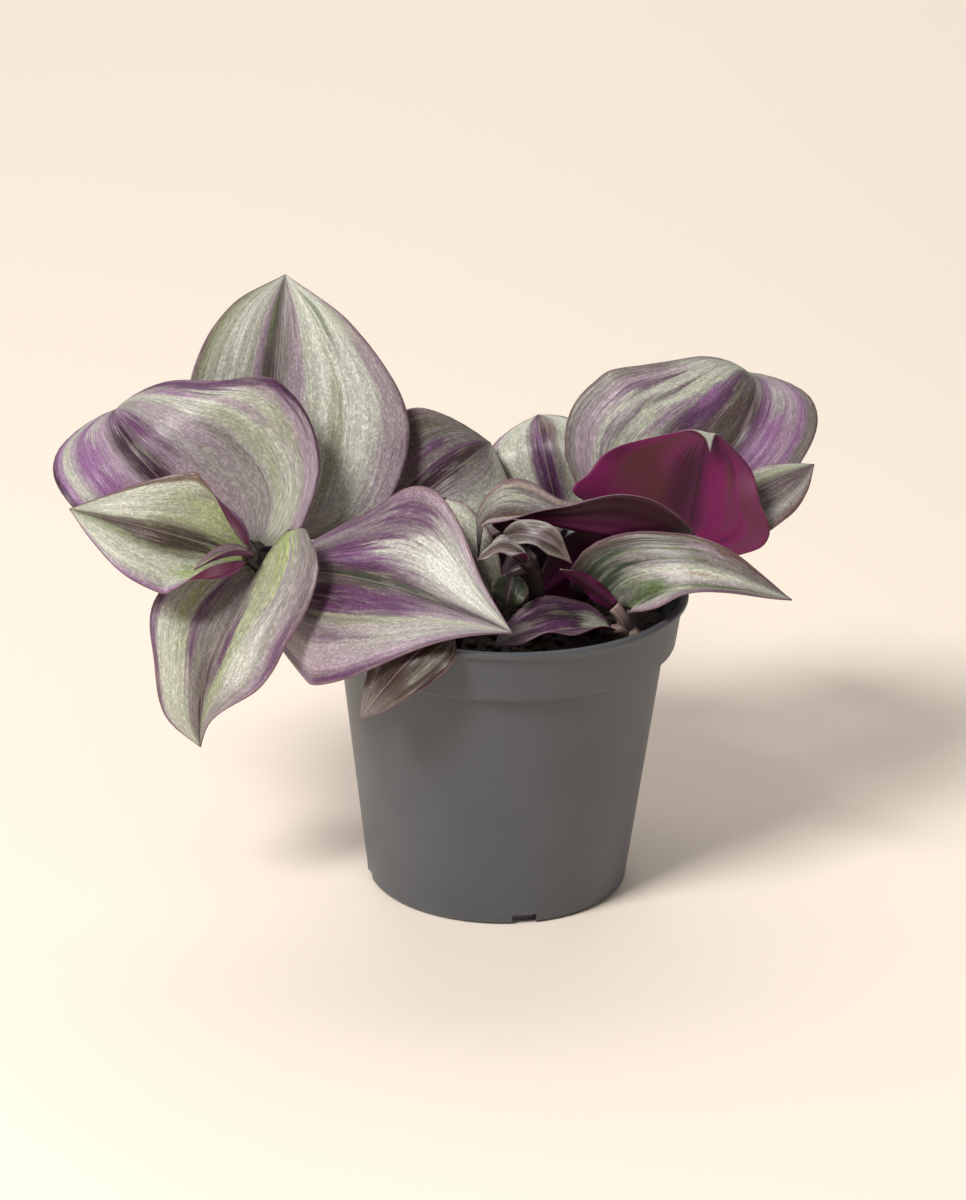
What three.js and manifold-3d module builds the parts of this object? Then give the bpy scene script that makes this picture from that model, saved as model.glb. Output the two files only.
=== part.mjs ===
// Potted tradescantia: a trailing plant with broad striped leaves in a small plastic nursery pot.
// Millimetres, +Z up, the pot stands on z = 0 about the z axis and its front is toward -Y.

import * as THREE from 'three';
import { mergeVertices } from 'three/addons/utils/BufferGeometryUtils.js';
import Module from 'manifold-3d';

const wasm = await Module();
wasm.setup();

// Driving dimensions of the pot
const rimRadius = 45;
const potHeight = 75.3;
const baseRadius = 32;
const shoulderRadius = 39.5;
const bandBottom = 62;
const bandRadius = 42.2;
const wall = 1.3;
const floorThickness = 1.5;
const potSides = 48;
const drainHoleCount = 6;
const drainHoleRadius = 3.5;
const drainCircle = 20;
const heelSlotCount = 4;
const heelSlotWidth = 6;
const heelSlotHeight = 2.4;

// Soil, stems and leaves
const gap = 0.35;
const soilTop = 66;
const soilRoughness = 0.9;
const stemRadius = 2;
const nodeRadius = 2.5;
const sheathRadius = 1.1;
const stemDepthInSoil = 9;
const leafThickness = 0.7;
const petioleHalfWidth = 1.6;
const nodSteps = 8;
const nodShare = 0.4;
const lobeStart = 0.04;
const lobeEnd = 0.4;
const foldFrom = 2 / 3;
const foldEnd = 0.4;
const foldFade = 0.7;
const foldLean = 0.45;

// Where along a leaf its half widths are given, from foot to tip
const stations = [0, 0.12, 0.35, 0.6, 0.85, 1];

const materials = {
  plastic: new THREE.MeshStandardMaterial({ color: 0x5f5c5e, roughness: 0.55, metalness: 0 }),
  soil: new THREE.MeshStandardMaterial({ color: 0x2b211c, roughness: 0.95, metalness: 0 }),
  stem: new THREE.MeshStandardMaterial({ color: 0x6d5a62, roughness: 0.5, metalness: 0 }),
  leaf: new THREE.MeshStandardMaterial({ color: 0xa9a9a0, roughness: 0.5, metalness: 0 }),
  youngLeaf: new THREE.MeshStandardMaterial({ color: 0x7d3f66, roughness: 0.5, metalness: 0 }),
};

const plant = new THREE.Group();

function addMesh(name, geometry, material) {
  const mesh = new THREE.Mesh(geometry, material);
  mesh.name = name;
  plant.add(mesh);
}

function toSolid(geometry) {
  const bare = geometry.clone();
  bare.deleteAttribute('normal');
  bare.deleteAttribute('uv');
  const merged = mergeVertices(bare, 1e-4);
  return new wasm.Manifold(new wasm.Mesh({
    numProp: 3,
    vertProperties: new Float32Array(merged.attributes.position.array),
    triVerts: new Uint32Array(merged.index.array),
  }));
}

function toGeometry(solid) {
  const mesh = solid.getMesh();
  const geometry = new THREE.BufferGeometry();
  geometry.setAttribute('position', new THREE.Float32BufferAttribute(mesh.vertProperties, 3));
  geometry.setIndex(Array.from(mesh.triVerts));
  geometry.computeVertexNormals();
  return geometry;
}

// A lathe about z; the profile runs from the axis on the underside, round the outside and back to the axis
function turned(profile, sides) {
  const points = profile.map(([radius, z]) => new THREE.Vector2(radius, z));
  return new THREE.LatheGeometry(points, sides).rotateX(Math.PI / 2);
}

// The pot: one turned wall with a flared band at the top, drain holes in the floor and slots at the heel
function potGeometry() {
  const bandTop = potHeight - 2.5;
  const shoulder = 1.2;
  const profile = [
    [0, 0],
    [baseRadius - 0.8, 0],
    [baseRadius, 0.8],
    [shoulderRadius, bandBottom - 0.8],
    [shoulderRadius + 0.8, bandBottom],
    [bandRadius - 0.7, bandBottom],
    [bandRadius, bandBottom + 0.7],
    [rimRadius - 1.4, bandTop],
    [rimRadius, bandTop + shoulder],
    [rimRadius, potHeight - 0.4],
    [rimRadius - 0.4, potHeight],
    [rimRadius - wall - 0.4, potHeight],
    [rimRadius - 1.4 - wall, bandTop],
    [bandRadius - wall, bandBottom + 2.2],
    [bandRadius - wall - 0.7, bandBottom + 1.5],
    [shoulderRadius - wall, bandBottom + 0.7],
    [baseRadius - wall, floorThickness + 0.8],
    [baseRadius - wall - 0.8, floorThickness],
    [0, floorThickness],
  ];
  let solid = toSolid(turned(profile, potSides));
  for (let k = 0; k < drainHoleCount; k++) {
    const turn = (2 * Math.PI * k) / drainHoleCount;
    const drill = new THREE.CylinderGeometry(drainHoleRadius, drainHoleRadius, 6, 16).rotateX(Math.PI / 2);
    drill.translate(drainCircle * Math.cos(turn), drainCircle * Math.sin(turn), 0);
    solid = solid.subtract(toSolid(drill));
  }
  for (let k = 0; k < heelSlotCount; k++) {
    const slot = new THREE.BoxGeometry(heelSlotWidth, 5, 2 * heelSlotHeight).translate(0, -baseRadius, 0);
    slot.rotateZ((2 * Math.PI * k) / heelSlotCount + 0.22);
    solid = solid.subtract(toSolid(slot));
  }
  return toGeometry(solid);
}

// The soil, with a plain hole for each stem
function soilGeometry(stems) {
  const wallAt = (z) => baseRadius - wall + ((shoulderRadius - baseRadius) * z) / bandBottom;
  const topRadius = bandRadius - wall - gap - 0.2;
  const profile = [
    [0, floorThickness + gap],
    [wallAt(floorThickness) - 1.6, floorThickness + gap],
    [wallAt(bandBottom) - gap - 0.2, bandBottom + 1.2],
    [topRadius - 0.5, bandBottom + 2.8],
    [topRadius, soilTop - 0.6],
    [topRadius * 0.97, soilTop],
    [topRadius * 0.8, soilTop],
    [topRadius * 0.6, soilTop],
    [topRadius * 0.4, soilTop],
    [topRadius * 0.2, soilTop],
    [0, soilTop],
  ];
  const geometry = turned(profile, 40);
  const place = geometry.attributes.position;
  for (let k = 0; k < place.count; k++) {
    const x = place.getX(k);
    const y = place.getY(k);
    if (place.getZ(k) < soilTop - 0.1) continue;
    const lump = Math.sin(x * 0.31 + 1.3) * Math.cos(y * 0.27) + 0.6 * Math.sin(x * 0.53 - y * 0.47);
    place.setZ(k, soilTop + soilRoughness * lump);
  }
  let solid = toSolid(geometry);
  for (const stem of stems) {
    solid = solid.subtract(toSolid(tube(rooted(stem.path, stemDepthInSoil + gap), stemRadius + 2 * gap, 8)));
  }
  return toGeometry(solid);
}

function curveThrough(points) {
  return new THREE.CatmullRomCurve3(points.map((p) => new THREE.Vector3(...p)), false, 'centripetal');
}

// A stem starts below the soil surface, straight under its first point
function rooted(path, depth = stemDepthInSoil) {
  const [x, y, z] = path[0];
  return curveThrough([[x, y, z - depth], ...path]);
}

function tube(curve, radius, sides) {
  const section = new THREE.Shape();
  for (let k = 0; k < sides; k++) {
    const turn = (2 * Math.PI * k) / sides;
    const draw = k === 0 ? 'moveTo' : 'lineTo';
    section[draw](radius * Math.cos(turn), radius * Math.sin(turn));
  }
  section.closePath();
  const steps = Math.max(3, Math.round(curve.getLength() / 5));
  return new THREE.ExtrudeGeometry(section, { steps, bevelEnabled: false, extrudePath: curve });
}

function ball(centre, radius) {
  return new THREE.SphereGeometry(radius, 8, 6).translate(centre.x, centre.y, centre.z);
}

// The stem with a swollen node at its end and a short sheath reaching to each of its leaves
function stemGeometry(stem, leaves) {
  const axis = rooted(stem.path);
  let solid = toSolid(tube(axis, stemRadius, 8));
  solid = solid.add(toSolid(ball(axis.getPoint(1), nodeRadius)));
  for (const leaf of leaves) {
    const foot = new THREE.Vector3(...leaf.foot);
    const start = ribOf(leaf).tangent(0);
    const end = foot.clone().addScaledVector(start, -gap - 0.2);
    const root = nearestOn(axis, foot);
    if (root.distanceTo(end) < stemRadius) continue;
    const bend = end.clone().addScaledVector(start, -0.35 * root.distanceTo(end));
    const sheath = new THREE.QuadraticBezierCurve3(root, bend, end);
    solid = solid.add(toSolid(tube(sheath, sheathRadius, 6)));
  }
  return toGeometry(solid);
}

function nearestOn(curve, point) {
  let best = curve.getPoint(1);
  for (let k = 40; k <= 100; k++) {
    const candidate = curve.getPoint(k / 100);
    if (candidate.distanceTo(point) < best.distanceTo(point)) best = candidate;
  }
  return best;
}

// A smooth curve through values given at some stations
function smooth(at, values, v) {
  const last = at.length - 1;
  const slope = (k) => {
    const from = Math.max(k - 1, 0);
    const to = Math.min(k + 1, last);
    return (values[to] - values[from]) / (at[to] - at[from]);
  };
  let k = 0;
  while (k < last - 1 && v >= at[k + 1]) k++;
  const span = at[k + 1] - at[k];
  const t = (v - at[k]) / span;
  const t2 = t * t;
  const t3 = t2 * t;
  return (2 * t3 - 3 * t2 + 1) * values[k]
    + (t3 - 2 * t2 + t) * span * slope(k)
    + (3 * t2 - 2 * t3) * values[k + 1]
    + (t3 - t2) * span * slope(k + 1);
}

// The midrib: from foot to tip, bowed toward the upper face and swept to the left. Past nod[0] of its
// length it soon bends over toward the underside by nod[1] degrees and to the left by nod[2] degrees
function ribOf({ foot, tip, face, bow = 4, crest = 0.5, sweep = 0, nod = [1, 0, 0] }) {
  const from = new THREE.Vector3(...foot);
  const chord = new THREE.Vector3(...tip).sub(from);
  const along = chord.clone().normalize();
  const up = new THREE.Vector3(...face);
  up.addScaledVector(along, -up.dot(along)).normalize();
  const left = up.clone().cross(along);
  const hump = (v) => v ** (2 * crest) * (1 - v) ** (2 - 2 * crest);
  const arch = (v) => from.clone()
    .addScaledVector(chord, v)
    .addScaledVector(up, (bow * hump(v)) / hump(crest))
    .addScaledVector(left, 4 * sweep * v * (1 - v));
  const [bendStart, bendOver, bendLeft] = nod;
  const point = (v) => {
    if (v <= bendStart) return arch(v);
    const place = arch(bendStart);
    const heading = place.clone().sub(arch(bendStart - 0.02)).divideScalar(0.02);
    const step = (v - bendStart) / nodSteps;
    for (let k = 0; k < nodSteps; k++) {
      const turn = THREE.MathUtils.degToRad(Math.min(((k + 0.5) * step) / (1 - bendStart) / nodShare, 1));
      const bent = heading.clone().applyAxisAngle(up, bendLeft * turn).applyAxisAngle(left, bendOver * turn);
      place.addScaledVector(bent, step);
    }
    return place;
  };
  const tangent = (v) => point(Math.min(v + 0.012, 1)).sub(point(Math.max(v - 0.012, 0))).normalize();
  return { point, tangent, left, back: along.clone().negate() };
}

// One row of points across the blade, from the left margin over the rib to the right margin
function leafRow(leaf, rib, v, perSide) {
  const { left, right, lift, curl = [0, 0], fold = [0, 0], wave = 0.8 } = leaf;
  const { lobe = [0, 0], lobePower = 1.5, lobeFade = 2, lobeRound = 0 } = leaf;
  const centre = rib.point(v);
  const along = rib.tangent(v);
  const side = rib.left.clone().addScaledVector(along, -rib.left.dot(along)).normalize();
  const up = along.clone().cross(side);
  const row = [centre];
  [left, right].forEach((halfWidths, k) => {
    const outward = side.clone().multiplyScalar(k === 0 ? 1 : -1);
    const widest = Math.max(...halfWidths);
    const width = Math.max(smooth(stations, [petioleHalfWidth, ...halfWidths, 0], v), 0);
    const rise = THREE.MathUtils.degToRad(smooth([0, 0.5, 1], lift[k], v));
    const roll = THREE.MathUtils.degToRad(curl[k]) * (width / widest);
    const onset = Math.min(v / lobeStart, 1);
    const cordate = lobe[k] * Math.max(1 - v / lobeEnd, 0) ** lobeFade * onset;
    const crease = THREE.MathUtils.degToRad(fold[k]) * Math.max(1 - v / foldEnd, 0) ** foldFade * onset;
    const spine = centre.clone();
    for (let j = 1; j <= perSide; j++) {
      const share = j / perSide;
      const folded = Math.max(share - foldFrom, 0);
      const angle = rise + roll * (share - 0.5 / perSide) + (folded > 0.01 ? crease : 0);
      spine.addScaledVector(outward, (Math.cos(angle) * width) / perSide);
      spine.addScaledVector(up, (Math.sin(angle) * width) / perSide);
      const ripple = wave * Math.sin(4 * Math.PI * v + 2 * k) * share ** 2 * (width / widest);
      const place = spine.clone()
        .addScaledVector(up, ripple * Math.cos(angle))
        .addScaledVector(outward, -ripple * Math.sin(angle))
        .addScaledVector(rib.back, cordate * share ** lobePower * (1 - lobeRound * share ** 4))
        .addScaledVector(along, foldLean * crease * folded * width);
      if (k === 0) row.unshift(place);
      else row.push(place);
    }
  });
  return row;
}

// A blade as a thin closed solid, with both faces split into triangles alike
function leafGeometry(leaf) {
  const rows = leaf.rows ?? 11;
  const perSide = leaf.perSide ?? 3;
  const rib = ribOf(leaf);
  const grid = [];
  for (let i = 0; i < rows; i++) grid.push(leafRow(leaf, rib, i / rows, perSide));
  const across = 2 * perSide + 1;
  const tip = rib.point(1);
  const at = (i, j) => (i < rows ? grid[i][Math.min(Math.max(j, 0), across - 1)] : tip);
  const normal = (i, j) => {
    const before = Math.max(i - 1, 0);
    const along = at(Math.min(i + 1, rows), j).clone().sub(at(before, j));
    const over = at(i, j + 1).clone().sub(at(i, j - 1));
    return over.cross(along).normalize();
  };
  const positions = [];
  const half = leafThickness / 2;
  const push = (point, n, sign) => positions.push(...point.clone().addScaledVector(n, sign * half).toArray());
  for (const sign of [1, -1]) {
    for (let i = 0; i < rows; i++) {
      for (let j = 0; j < across; j++) push(grid[i][j], normal(i, j), sign);
    }
    push(tip, normal(rows - 1, perSide), sign);
  }
  const layer = rows * across + 1;
  const index = [];
  const both = (a, b, c) => index.push(a, b, c, layer + a, layer + c, layer + b);
  const rimQuad = (a, b) => index.push(a, b, layer + a, b, layer + b, layer + a);
  for (let i = 0; i < rows - 1; i++) {
    for (let j = 0; j < across - 1; j++) {
      const a = i * across + j;
      both(a, a + 1, a + across);
      both(a + 1, a + across + 1, a + across);
    }
    rimQuad(i * across, (i + 1) * across);
    rimQuad((i + 2) * across - 1, (i + 1) * across - 1);
  }
  const lastRow = (rows - 1) * across;
  for (let j = 0; j < across - 1; j++) both(lastRow + j, lastRow + j + 1, layer - 1);
  rimQuad(lastRow, layer - 1);
  rimQuad(layer - 1, lastRow + across - 1);
  for (let j = 0; j < across - 1; j++) rimQuad(j + 1, j);
  const geometry = new THREE.BufferGeometry();
  geometry.setAttribute('position', new THREE.Float32BufferAttribute(positions, 3));
  geometry.setIndex(index);
  geometry.computeVertexNormals();
  return geometry;
}

// The plant: each stem from the soil surface upward, with the leaves that grow from it. A leaf has
// its foot and tip, the way its upper face looks, its half widths left and right of the rib at four
// stations, and how far (in degrees) each half lifts off flat at the foot, middle and tip. Where it has
// them, lobes reach back past the foot, and the margin near the foot is folded over by some degrees.

const leftStem = {
  name: 'stem-left',
  path: [
    [-20, 3, soilTop], [-33, 4, 75], [-46, 4, 80], [-57, 2, 82.5], [-60.7, -6.2, 85], [-61.3, -11.4, 87.5],
  ],
  leaves: [
    {
      name: 'leaf-left-tall',
      foot: [-58, 7, 80],
      tip: [-55, 38, 141],
      face: [0.1, -1, 0.3],
      left: [15, 22, 22, 12.5],
      right: [25, 34, 32, 17],
      bow: 3,
      sweep: 1,
      lift: [[30, 26, 18], [5, 0, 10]],
      curl: [0, -15],
    },
    {
      name: 'leaf-left-broad',
      foot: [-63, 1, 82],
      tip: [-95, 24, 110],
      face: [-0.46, -0.7, 0.53],
      left: [8, 16, 20, 16],
      right: [30, 37, 29, 17],
      bow: 17,
      crest: 0.62,
      lift: [[15, 25, 30], [10, 0, 0]],
      curl: [-10, -30],
      lobe: [0, 12],
      rows: 13,
    },
    {
      name: 'leaf-left-small',
      foot: [-61.5, -15.2, 87],
      tip: [-102, -20, 99.5],
      face: [0, -0.9, 0.5],
      left: [11, 15, 13.5, 6],
      right: [12, 16.5, 11.5, 4.5],
      bow: 4,
      lift: [[30, 15, 5], [20, 10, 5]],
      curl: [0, 10],
      fold: [140, 150],
      rows: 13,
      lobe: [3, 4],
    },
    {
      name: 'leaf-left-young',
      foot: [-60, -18.5, 88.3],
      tip: [-72.2, -27, 87.7],
      face: [0, -0.3, 1],
      left: [2.2, 2.6, 2, 1],
      right: [2.2, 2.6, 2, 1],
      bow: 2,
      lift: [[30, 45, 40], [20, 40, 40]],
      curl: [30, 40],
      wave: 0,
      rows: 6,
      material: 'youngLeaf',
    },
    {
      name: 'leaf-left-drooping',
      foot: [-58, -13, 81.3],
      tip: [-71, -28, 43],
      face: [-0.1, -1, 0.2],
      left: [19.5, 17.5, 14, 3],
      right: [14, 18, 13, 8.5],
      bow: 6,
      crest: 0.4,
      sweep: -4,
      lift: [[34, 20, 10], [-25, -5, 5]],
      lobe: [25, 6],
      lobePower: 0.6,
      lobeFade: 1.3,
      lobeRound: 0.3,
      rows: 15,
    },
    {
      name: 'leaf-front-large',
      foot: [-57, 0, 77],
      tip: [2.5, -46, 81],
      face: [0.1, -0.75, 0.7],
      left: [5, 14.5, 25, 8.5],
      right: [17, 27, 24, 9],
      bow: 9,
      lift: [[10, 5, 0], [-25, 5, 20]],
      curl: [30, -40],
      lobe: [0, 5],
      rows: 13,
    },
  ],
};

const rimStem = {
  name: 'stem-rim',
  path: [[-12, -24, soilTop], [-11, -28, 72], [-10, -33, 77]],
  leaves: [
    {
      name: 'leaf-over-rim',
      foot: [-12, -38.5, 78.8],
      tip: [-32.5, -44, 58],
      face: [-0.3, -1, 0.5],
      left: [7, 7.5, 6, 3],
      right: [9, 11, 9, 4],
      bow: 6,
      crest: 0.4,
      lift: [[0, 0, 0], [0, -15, -20]],
      rows: 8,
    },
  ],
};

const backLeftStem = {
  name: 'stem-back-left',
  path: [[-16, 14, soilTop], [-24, 20, 74], [-32, 25, 79]],
  leaves: [
    {
      name: 'leaf-back-left',
      foot: [-29, 28, 81],
      tip: [-4, 40, 98],
      face: [0.45, -0.65, 0.6],
      left: [14, 18, 19, 13],
      right: [10, 15, 20, 18],
      bow: 9,
      crest: 0.6,
      lift: [[15, 5, 0], [15, 5, 0]],
      curl: [-20, -20],
    },
    {
      name: 'leaf-core-left',
      foot: [-23, 14, 77],
      tip: [-30, -9, 88],
      face: [0.3, -0.3, 0.9],
      left: [7, 9, 8, 4],
      right: [7, 9, 8, 4],
      bow: 4,
      lift: [[20, 10, 5], [20, 10, 5]],
      rows: 8,
    },
    {
      name: 'leaf-rear-left',
      foot: [-24, 33, 80],
      tip: [-36, 76, 82],
      face: [0, 0, 1],
      left: [14, 19, 16, 8],
      right: [14, 19, 16, 8],
      bow: 9,
      lift: [[20, 10, 5], [20, 10, 5]],
    },
  ],
};

const backStem = {
  name: 'stem-back',
  path: [[0, 18, soilTop], [3, 26, 73], [8, 34, 76]],
  leaves: [
    {
      name: 'leaf-back-middle',
      foot: [14, 40, 78],
      tip: [8, 54, 101],
      face: [-0.15, -0.7, 0.65],
      left: [10, 13, 14, 11],
      right: [9, 12, 12, 9],
      bow: 9,
      crest: 0.6,
      lift: [[15, 5, 0], [15, 5, 0]],
      curl: [-15, -15],
    },
    {
      name: 'leaf-core-middle',
      foot: [5, 23, 78],
      tip: [13, 1, 88],
      face: [0, 0, 1],
      left: [8, 10, 8, 4],
      right: [8, 10, 8, 4],
      bow: 5,
      lift: [[20, 10, 5], [20, 10, 5]],
      rows: 8,
    },
    {
      name: 'leaf-rear-middle',
      foot: [4, 43, 78],
      tip: [4, 74, 62],
      face: [0, 0.4, 1],
      left: [12, 17, 14, 7],
      right: [12, 17, 14, 7],
      bow: 9,
      lift: [[20, 10, 5], [20, 10, 5]],
    },
  ],
};

const backRightStem = {
  name: 'stem-back-right',
  path: [[20, 13, soilTop], [26, 19, 75], [34, 23, 81]],
  leaves: [
    {
      name: 'leaf-right-broad',
      foot: [39.5, 22, 83],
      tip: [59, 48, 115.5],
      face: [0.46, -0.7, 0.53],
      left: [33, 37, 29, 17],
      right: [8, 13, 16.5, 14],
      bow: 18,
      crest: 0.62,
      lift: [[10, 3, 5], [20, 25, 30]],
      curl: [-40, -10],
      lobe: [14, 0],
      rows: 13,
    },
    {
      name: 'leaf-rear-right',
      foot: [35, 37, 80],
      tip: [48, 82, 84],
      face: [0, 0, 1],
      left: [14, 20, 17, 8],
      right: [14, 20, 17, 8],
      bow: 9,
      lift: [[20, 10, 5], [20, 10, 5]],
    },
  ],
};

const rightStem = {
  name: 'stem-right',
  path: [[17, 7, soilTop], [25, 6, 78], [34, 2, 85.5], [42, -4, 89]],
  leaves: [
    {
      name: 'leaf-right-upright',
      foot: [44.5, -1, 90],
      tip: [49.1, 5, 119.3],
      face: [0, 1, 0.15],
      left: [18, 15.5, 11, 4],
      right: [29, 27, 20.5, 8],
      bow: 2,
      lift: [[0, 0, 0], [0, 0, 0]],
      curl: [-20, -20],
      lobe: [8, 0],
      nod: [0.84, 130, 45],
      rows: 13,
    },
    {
      name: 'leaf-right-narrow',
      foot: [49.5, 12.8, 88.5],
      tip: [75, 15.8, 102.5],
      face: [0, -0.7, 0.7],
      left: [4, 5, 5, 2.5],
      right: [8, 13, 11, 6],
      bow: 2,
      lift: [[25, 15, 5], [25, 15, 5]],
    },
    {
      name: 'leaf-centre-folded',
      foot: [43, -8.4, 90.4],
      tip: [-6, -12, 87],
      face: [0, -0.1, 1],
      left: [11.5, 13.5, 6.5, 5],
      right: [7, 10, 6, 9],
      bow: 10,
      lift: [[45, 78, -10], [35, 70, 70]],
      rows: 14,
      crest: 0.88,
      lobe: [5, 0],
      lobePower: 0.9,
    },
    {
      name: 'leaf-core-front',
      foot: [28, -4, 84],
      tip: [8, -5, 74],
      face: [0.2, 0.9, 0.3],
      left: [8, 10, 8, 4],
      right: [8, 10, 8, 4],
      bow: 3,
      lift: [[20, 10, 5], [20, 10, 5]],
      rows: 8,
    },
  ],
};

const frontRightStem = {
  name: 'stem-front-right',
  path: [[32, -13, soilTop], [31.4, -13, 68], [29.8, -12.6, 69.2]],
  leaves: [
    {
      name: 'leaf-right-low',
      foot: [30.5, -15.4, 75.4],
      tip: [68.3, -20, 80.8],
      face: [0, -0.7, 0.8],
      left: [14.2, 13.6, 10, 4.4],
      right: [4, 2.5, 1.2, 0.8],
      bow: 9.5,
      crest: 0.4,
      lift: [[15, 15, 5], [20, 15, 5]],
      lobe: [20, 0],
      lobePower: 0.8,
      rows: 13,
    },
    {
      name: 'leaf-front-folded',
      foot: [26.5, -16.7, 76.8],
      tip: [13.4, -24, 88.7],
      face: [-0.3, 0.9, 0.3],
      left: [2, 2.4, 1.8, 1],
      right: [1.8, 2.2, 1.8, 1],
      bow: 2,
      lift: [[20, 10, 5], [20, 10, 5]],
      rows: 8,
    },
    {
      name: 'leaf-inside-rim',
      foot: [26, -17.5, 71.5],
      tip: [-1.7, -36, 73.8],
      face: [0, -0.3, 1],
      left: [2, 2.5, 2.5, 2],
      right: [7, 10, 9, 4.5],
      bow: 2,
      lift: [[25, 15, 5], [25, 15, 5]],
      rows: 8,
    },
  ],
};

const middleStem = {
  name: 'stem-middle',
  path: [[8, -10, soilTop], [8, -15, 75], [8, -17, 82], [5.5, -20, 90]],
  leaves: [
    {
      name: 'leaf-middle-arched',
      foot: [0, -19, 94.5],
      tip: [16, -22, 89.5],
      face: [0, -0.6, 0.8],
      left: [3, 4, 3.5, 1.7],
      right: [3, 4, 3.5, 1.7],
      bow: 6,
      lift: [[25, 15, 5], [25, 15, 5]],
      rows: 7,
      perSide: 2,
    },
    {
      name: 'leaf-middle-curl',
      foot: [5, -29, 93],
      tip: [-6, -31, 93],
      face: [0, -0.2, 1],
      left: [3, 4, 3.5, 1.7],
      right: [3, 4, 3.5, 1.7],
      bow: 3,
      lift: [[25, 15, 5], [25, 15, 5]],
      rows: 7,
      perSide: 2,
    },
    {
      name: 'leaf-middle-shaded',
      foot: [2, -20.5, 85],
      tip: [1, -23, 78],
      face: [0, -0.8, 0.6],
      left: [3.2, 4.5, 4, 1.9],
      right: [3.2, 4.5, 4, 1.9],
      bow: 2,
      lift: [[25, 15, 5], [25, 15, 5]],
      rows: 7,
      perSide: 2,
    },
  ],
};

const centreStem = {
  name: 'stem-centre',
  path: [[-8, -3, soilTop], [-12, 0, 82], [-15, 0, 95]],
  leaves: [
    {
      name: 'leaf-centre-narrow',
      foot: [-15, -3, 97.1],
      tip: [-0.8, -12, 75.3],
      face: [0, -0.8, 0.6],
      left: [4.5, 6, 5.5, 3],
      right: [4, 5, 4.5, 2.5],
      bow: 3,
      lift: [[25, 15, 5], [25, 15, 5]],
      rows: 8,
      perSide: 2,
    },
  ],
};

const stems = [
  leftStem, rimStem, backLeftStem, backStem, backRightStem,
  rightStem, frontRightStem, middleStem, centreStem,
];

addMesh('pot', potGeometry(), materials.plastic);
addMesh('soil', soilGeometry(stems), materials.soil);
for (const stem of stems) {
  addMesh(stem.name, stemGeometry(stem, stem.leaves), materials.stem);
  for (const leaf of stem.leaves) {
    addMesh(leaf.name, leafGeometry(leaf), materials[leaf.material ?? 'leaf']);
  }
}

export default plant;
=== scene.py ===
import bpy
import random
from math import cos, exp, pi, radians, sin, sqrt, tau
from mathutils import Matrix, Vector, noise


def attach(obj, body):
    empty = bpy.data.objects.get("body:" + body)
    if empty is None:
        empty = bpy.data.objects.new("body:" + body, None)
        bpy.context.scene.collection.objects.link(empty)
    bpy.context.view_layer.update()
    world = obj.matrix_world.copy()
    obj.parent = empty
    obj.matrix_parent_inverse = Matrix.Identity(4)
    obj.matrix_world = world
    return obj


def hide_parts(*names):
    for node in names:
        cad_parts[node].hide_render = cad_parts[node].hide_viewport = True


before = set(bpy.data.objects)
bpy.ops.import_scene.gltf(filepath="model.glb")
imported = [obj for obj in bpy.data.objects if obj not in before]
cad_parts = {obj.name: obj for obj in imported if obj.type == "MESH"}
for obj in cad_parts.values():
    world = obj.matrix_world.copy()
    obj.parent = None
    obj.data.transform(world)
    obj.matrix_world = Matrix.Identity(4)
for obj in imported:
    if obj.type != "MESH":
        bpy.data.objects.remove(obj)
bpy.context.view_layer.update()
mm = 0.001


# Colours and nodes

def fromHex(code):
    channels = [int(code[k:k + 2], 16) / 255 for k in (1, 3, 5)]
    return tuple(c / 12.92 if c <= 0.04045 else ((c + 0.055) / 1.055) ** 2.4 for c in channels) + (1,)


def newMaterial(name):
    material = bpy.data.materials.new(name)
    material.use_nodes = True
    material.node_tree.nodes.clear()
    return material, material.node_tree


# Adds one shader node; inputs are values or the output sockets that feed them
def add(tree, kind, inputs=None, **settings):
    node = tree.nodes.new("ShaderNode" + kind)
    for key, value in settings.items():
        setattr(node, key, value)
    for key, value in (inputs or {}).items():
        if isinstance(value, bpy.types.NodeSocket):
            tree.links.new(value, node.inputs[key])
        else:
            node.inputs[key].default_value = value
    return node


# A ramp of colours over a value; stops are pairs of place and colour
def addRamp(tree, value, stops):
    node = add(tree, "ValToRGB", {"Fac": value})
    elements = node.color_ramp.elements
    while len(elements) > 1:
        elements.remove(elements[-1])
    elements[0].position, elements[0].color = stops[0][0], fromHex(stops[0][1])
    for position, colour in stops[1:]:
        elements.new(position).color = fromHex(colour)
    return node.outputs["Color"]


def addNoise(tree, **values):
    field = {key.capitalize(): value for key, value in values.items()}
    return add(tree, "TexNoise", field).outputs["Fac"]


# bump is strength, distance in metres and height; soft is the weight of the light that gets inside
# and how many mm each channel reaches
def finishMaterial(tree, colour, roughness, ior, bump, soft=None):
    strength, distance, height = bump
    relief = add(tree, "Bump", {"Strength": strength, "Distance": distance, "Height": height})
    values = {"Base Color": colour, "Roughness": roughness, "IOR": ior, "Normal": relief.outputs[0]}
    if soft:
        values |= {"Subsurface Weight": soft[0], "Subsurface Radius": soft[1], "Subsurface Scale": mm}
    shader = add(tree, "BsdfPrincipled", values)
    add(tree, "OutputMaterial", {"Surface": shader.outputs[0]})


# Objects; a body's points are in mm

def newObject(name, data):
    made = bpy.data.objects.new(name, data)
    bpy.context.collection.objects.link(made)
    return made


def newBody(name, points, faces):
    mesh = bpy.data.meshes.new(name)
    mesh.from_pydata([tuple(c * mm for c in p) for p in points], [], faces)
    return newObject(name, mesh)


# Camera, at the photograph's angle

camera = dict(
    lookAt=(0, 0, 75), distance=900, elevation=20.8, roll=1.29, sensor=36, clip=(0.05, 20),
    pixelsPerMm=4.137,      # at the look distance
    lookPixel=(502.8, 586.3), frame=(966, 1200),
)


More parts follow.
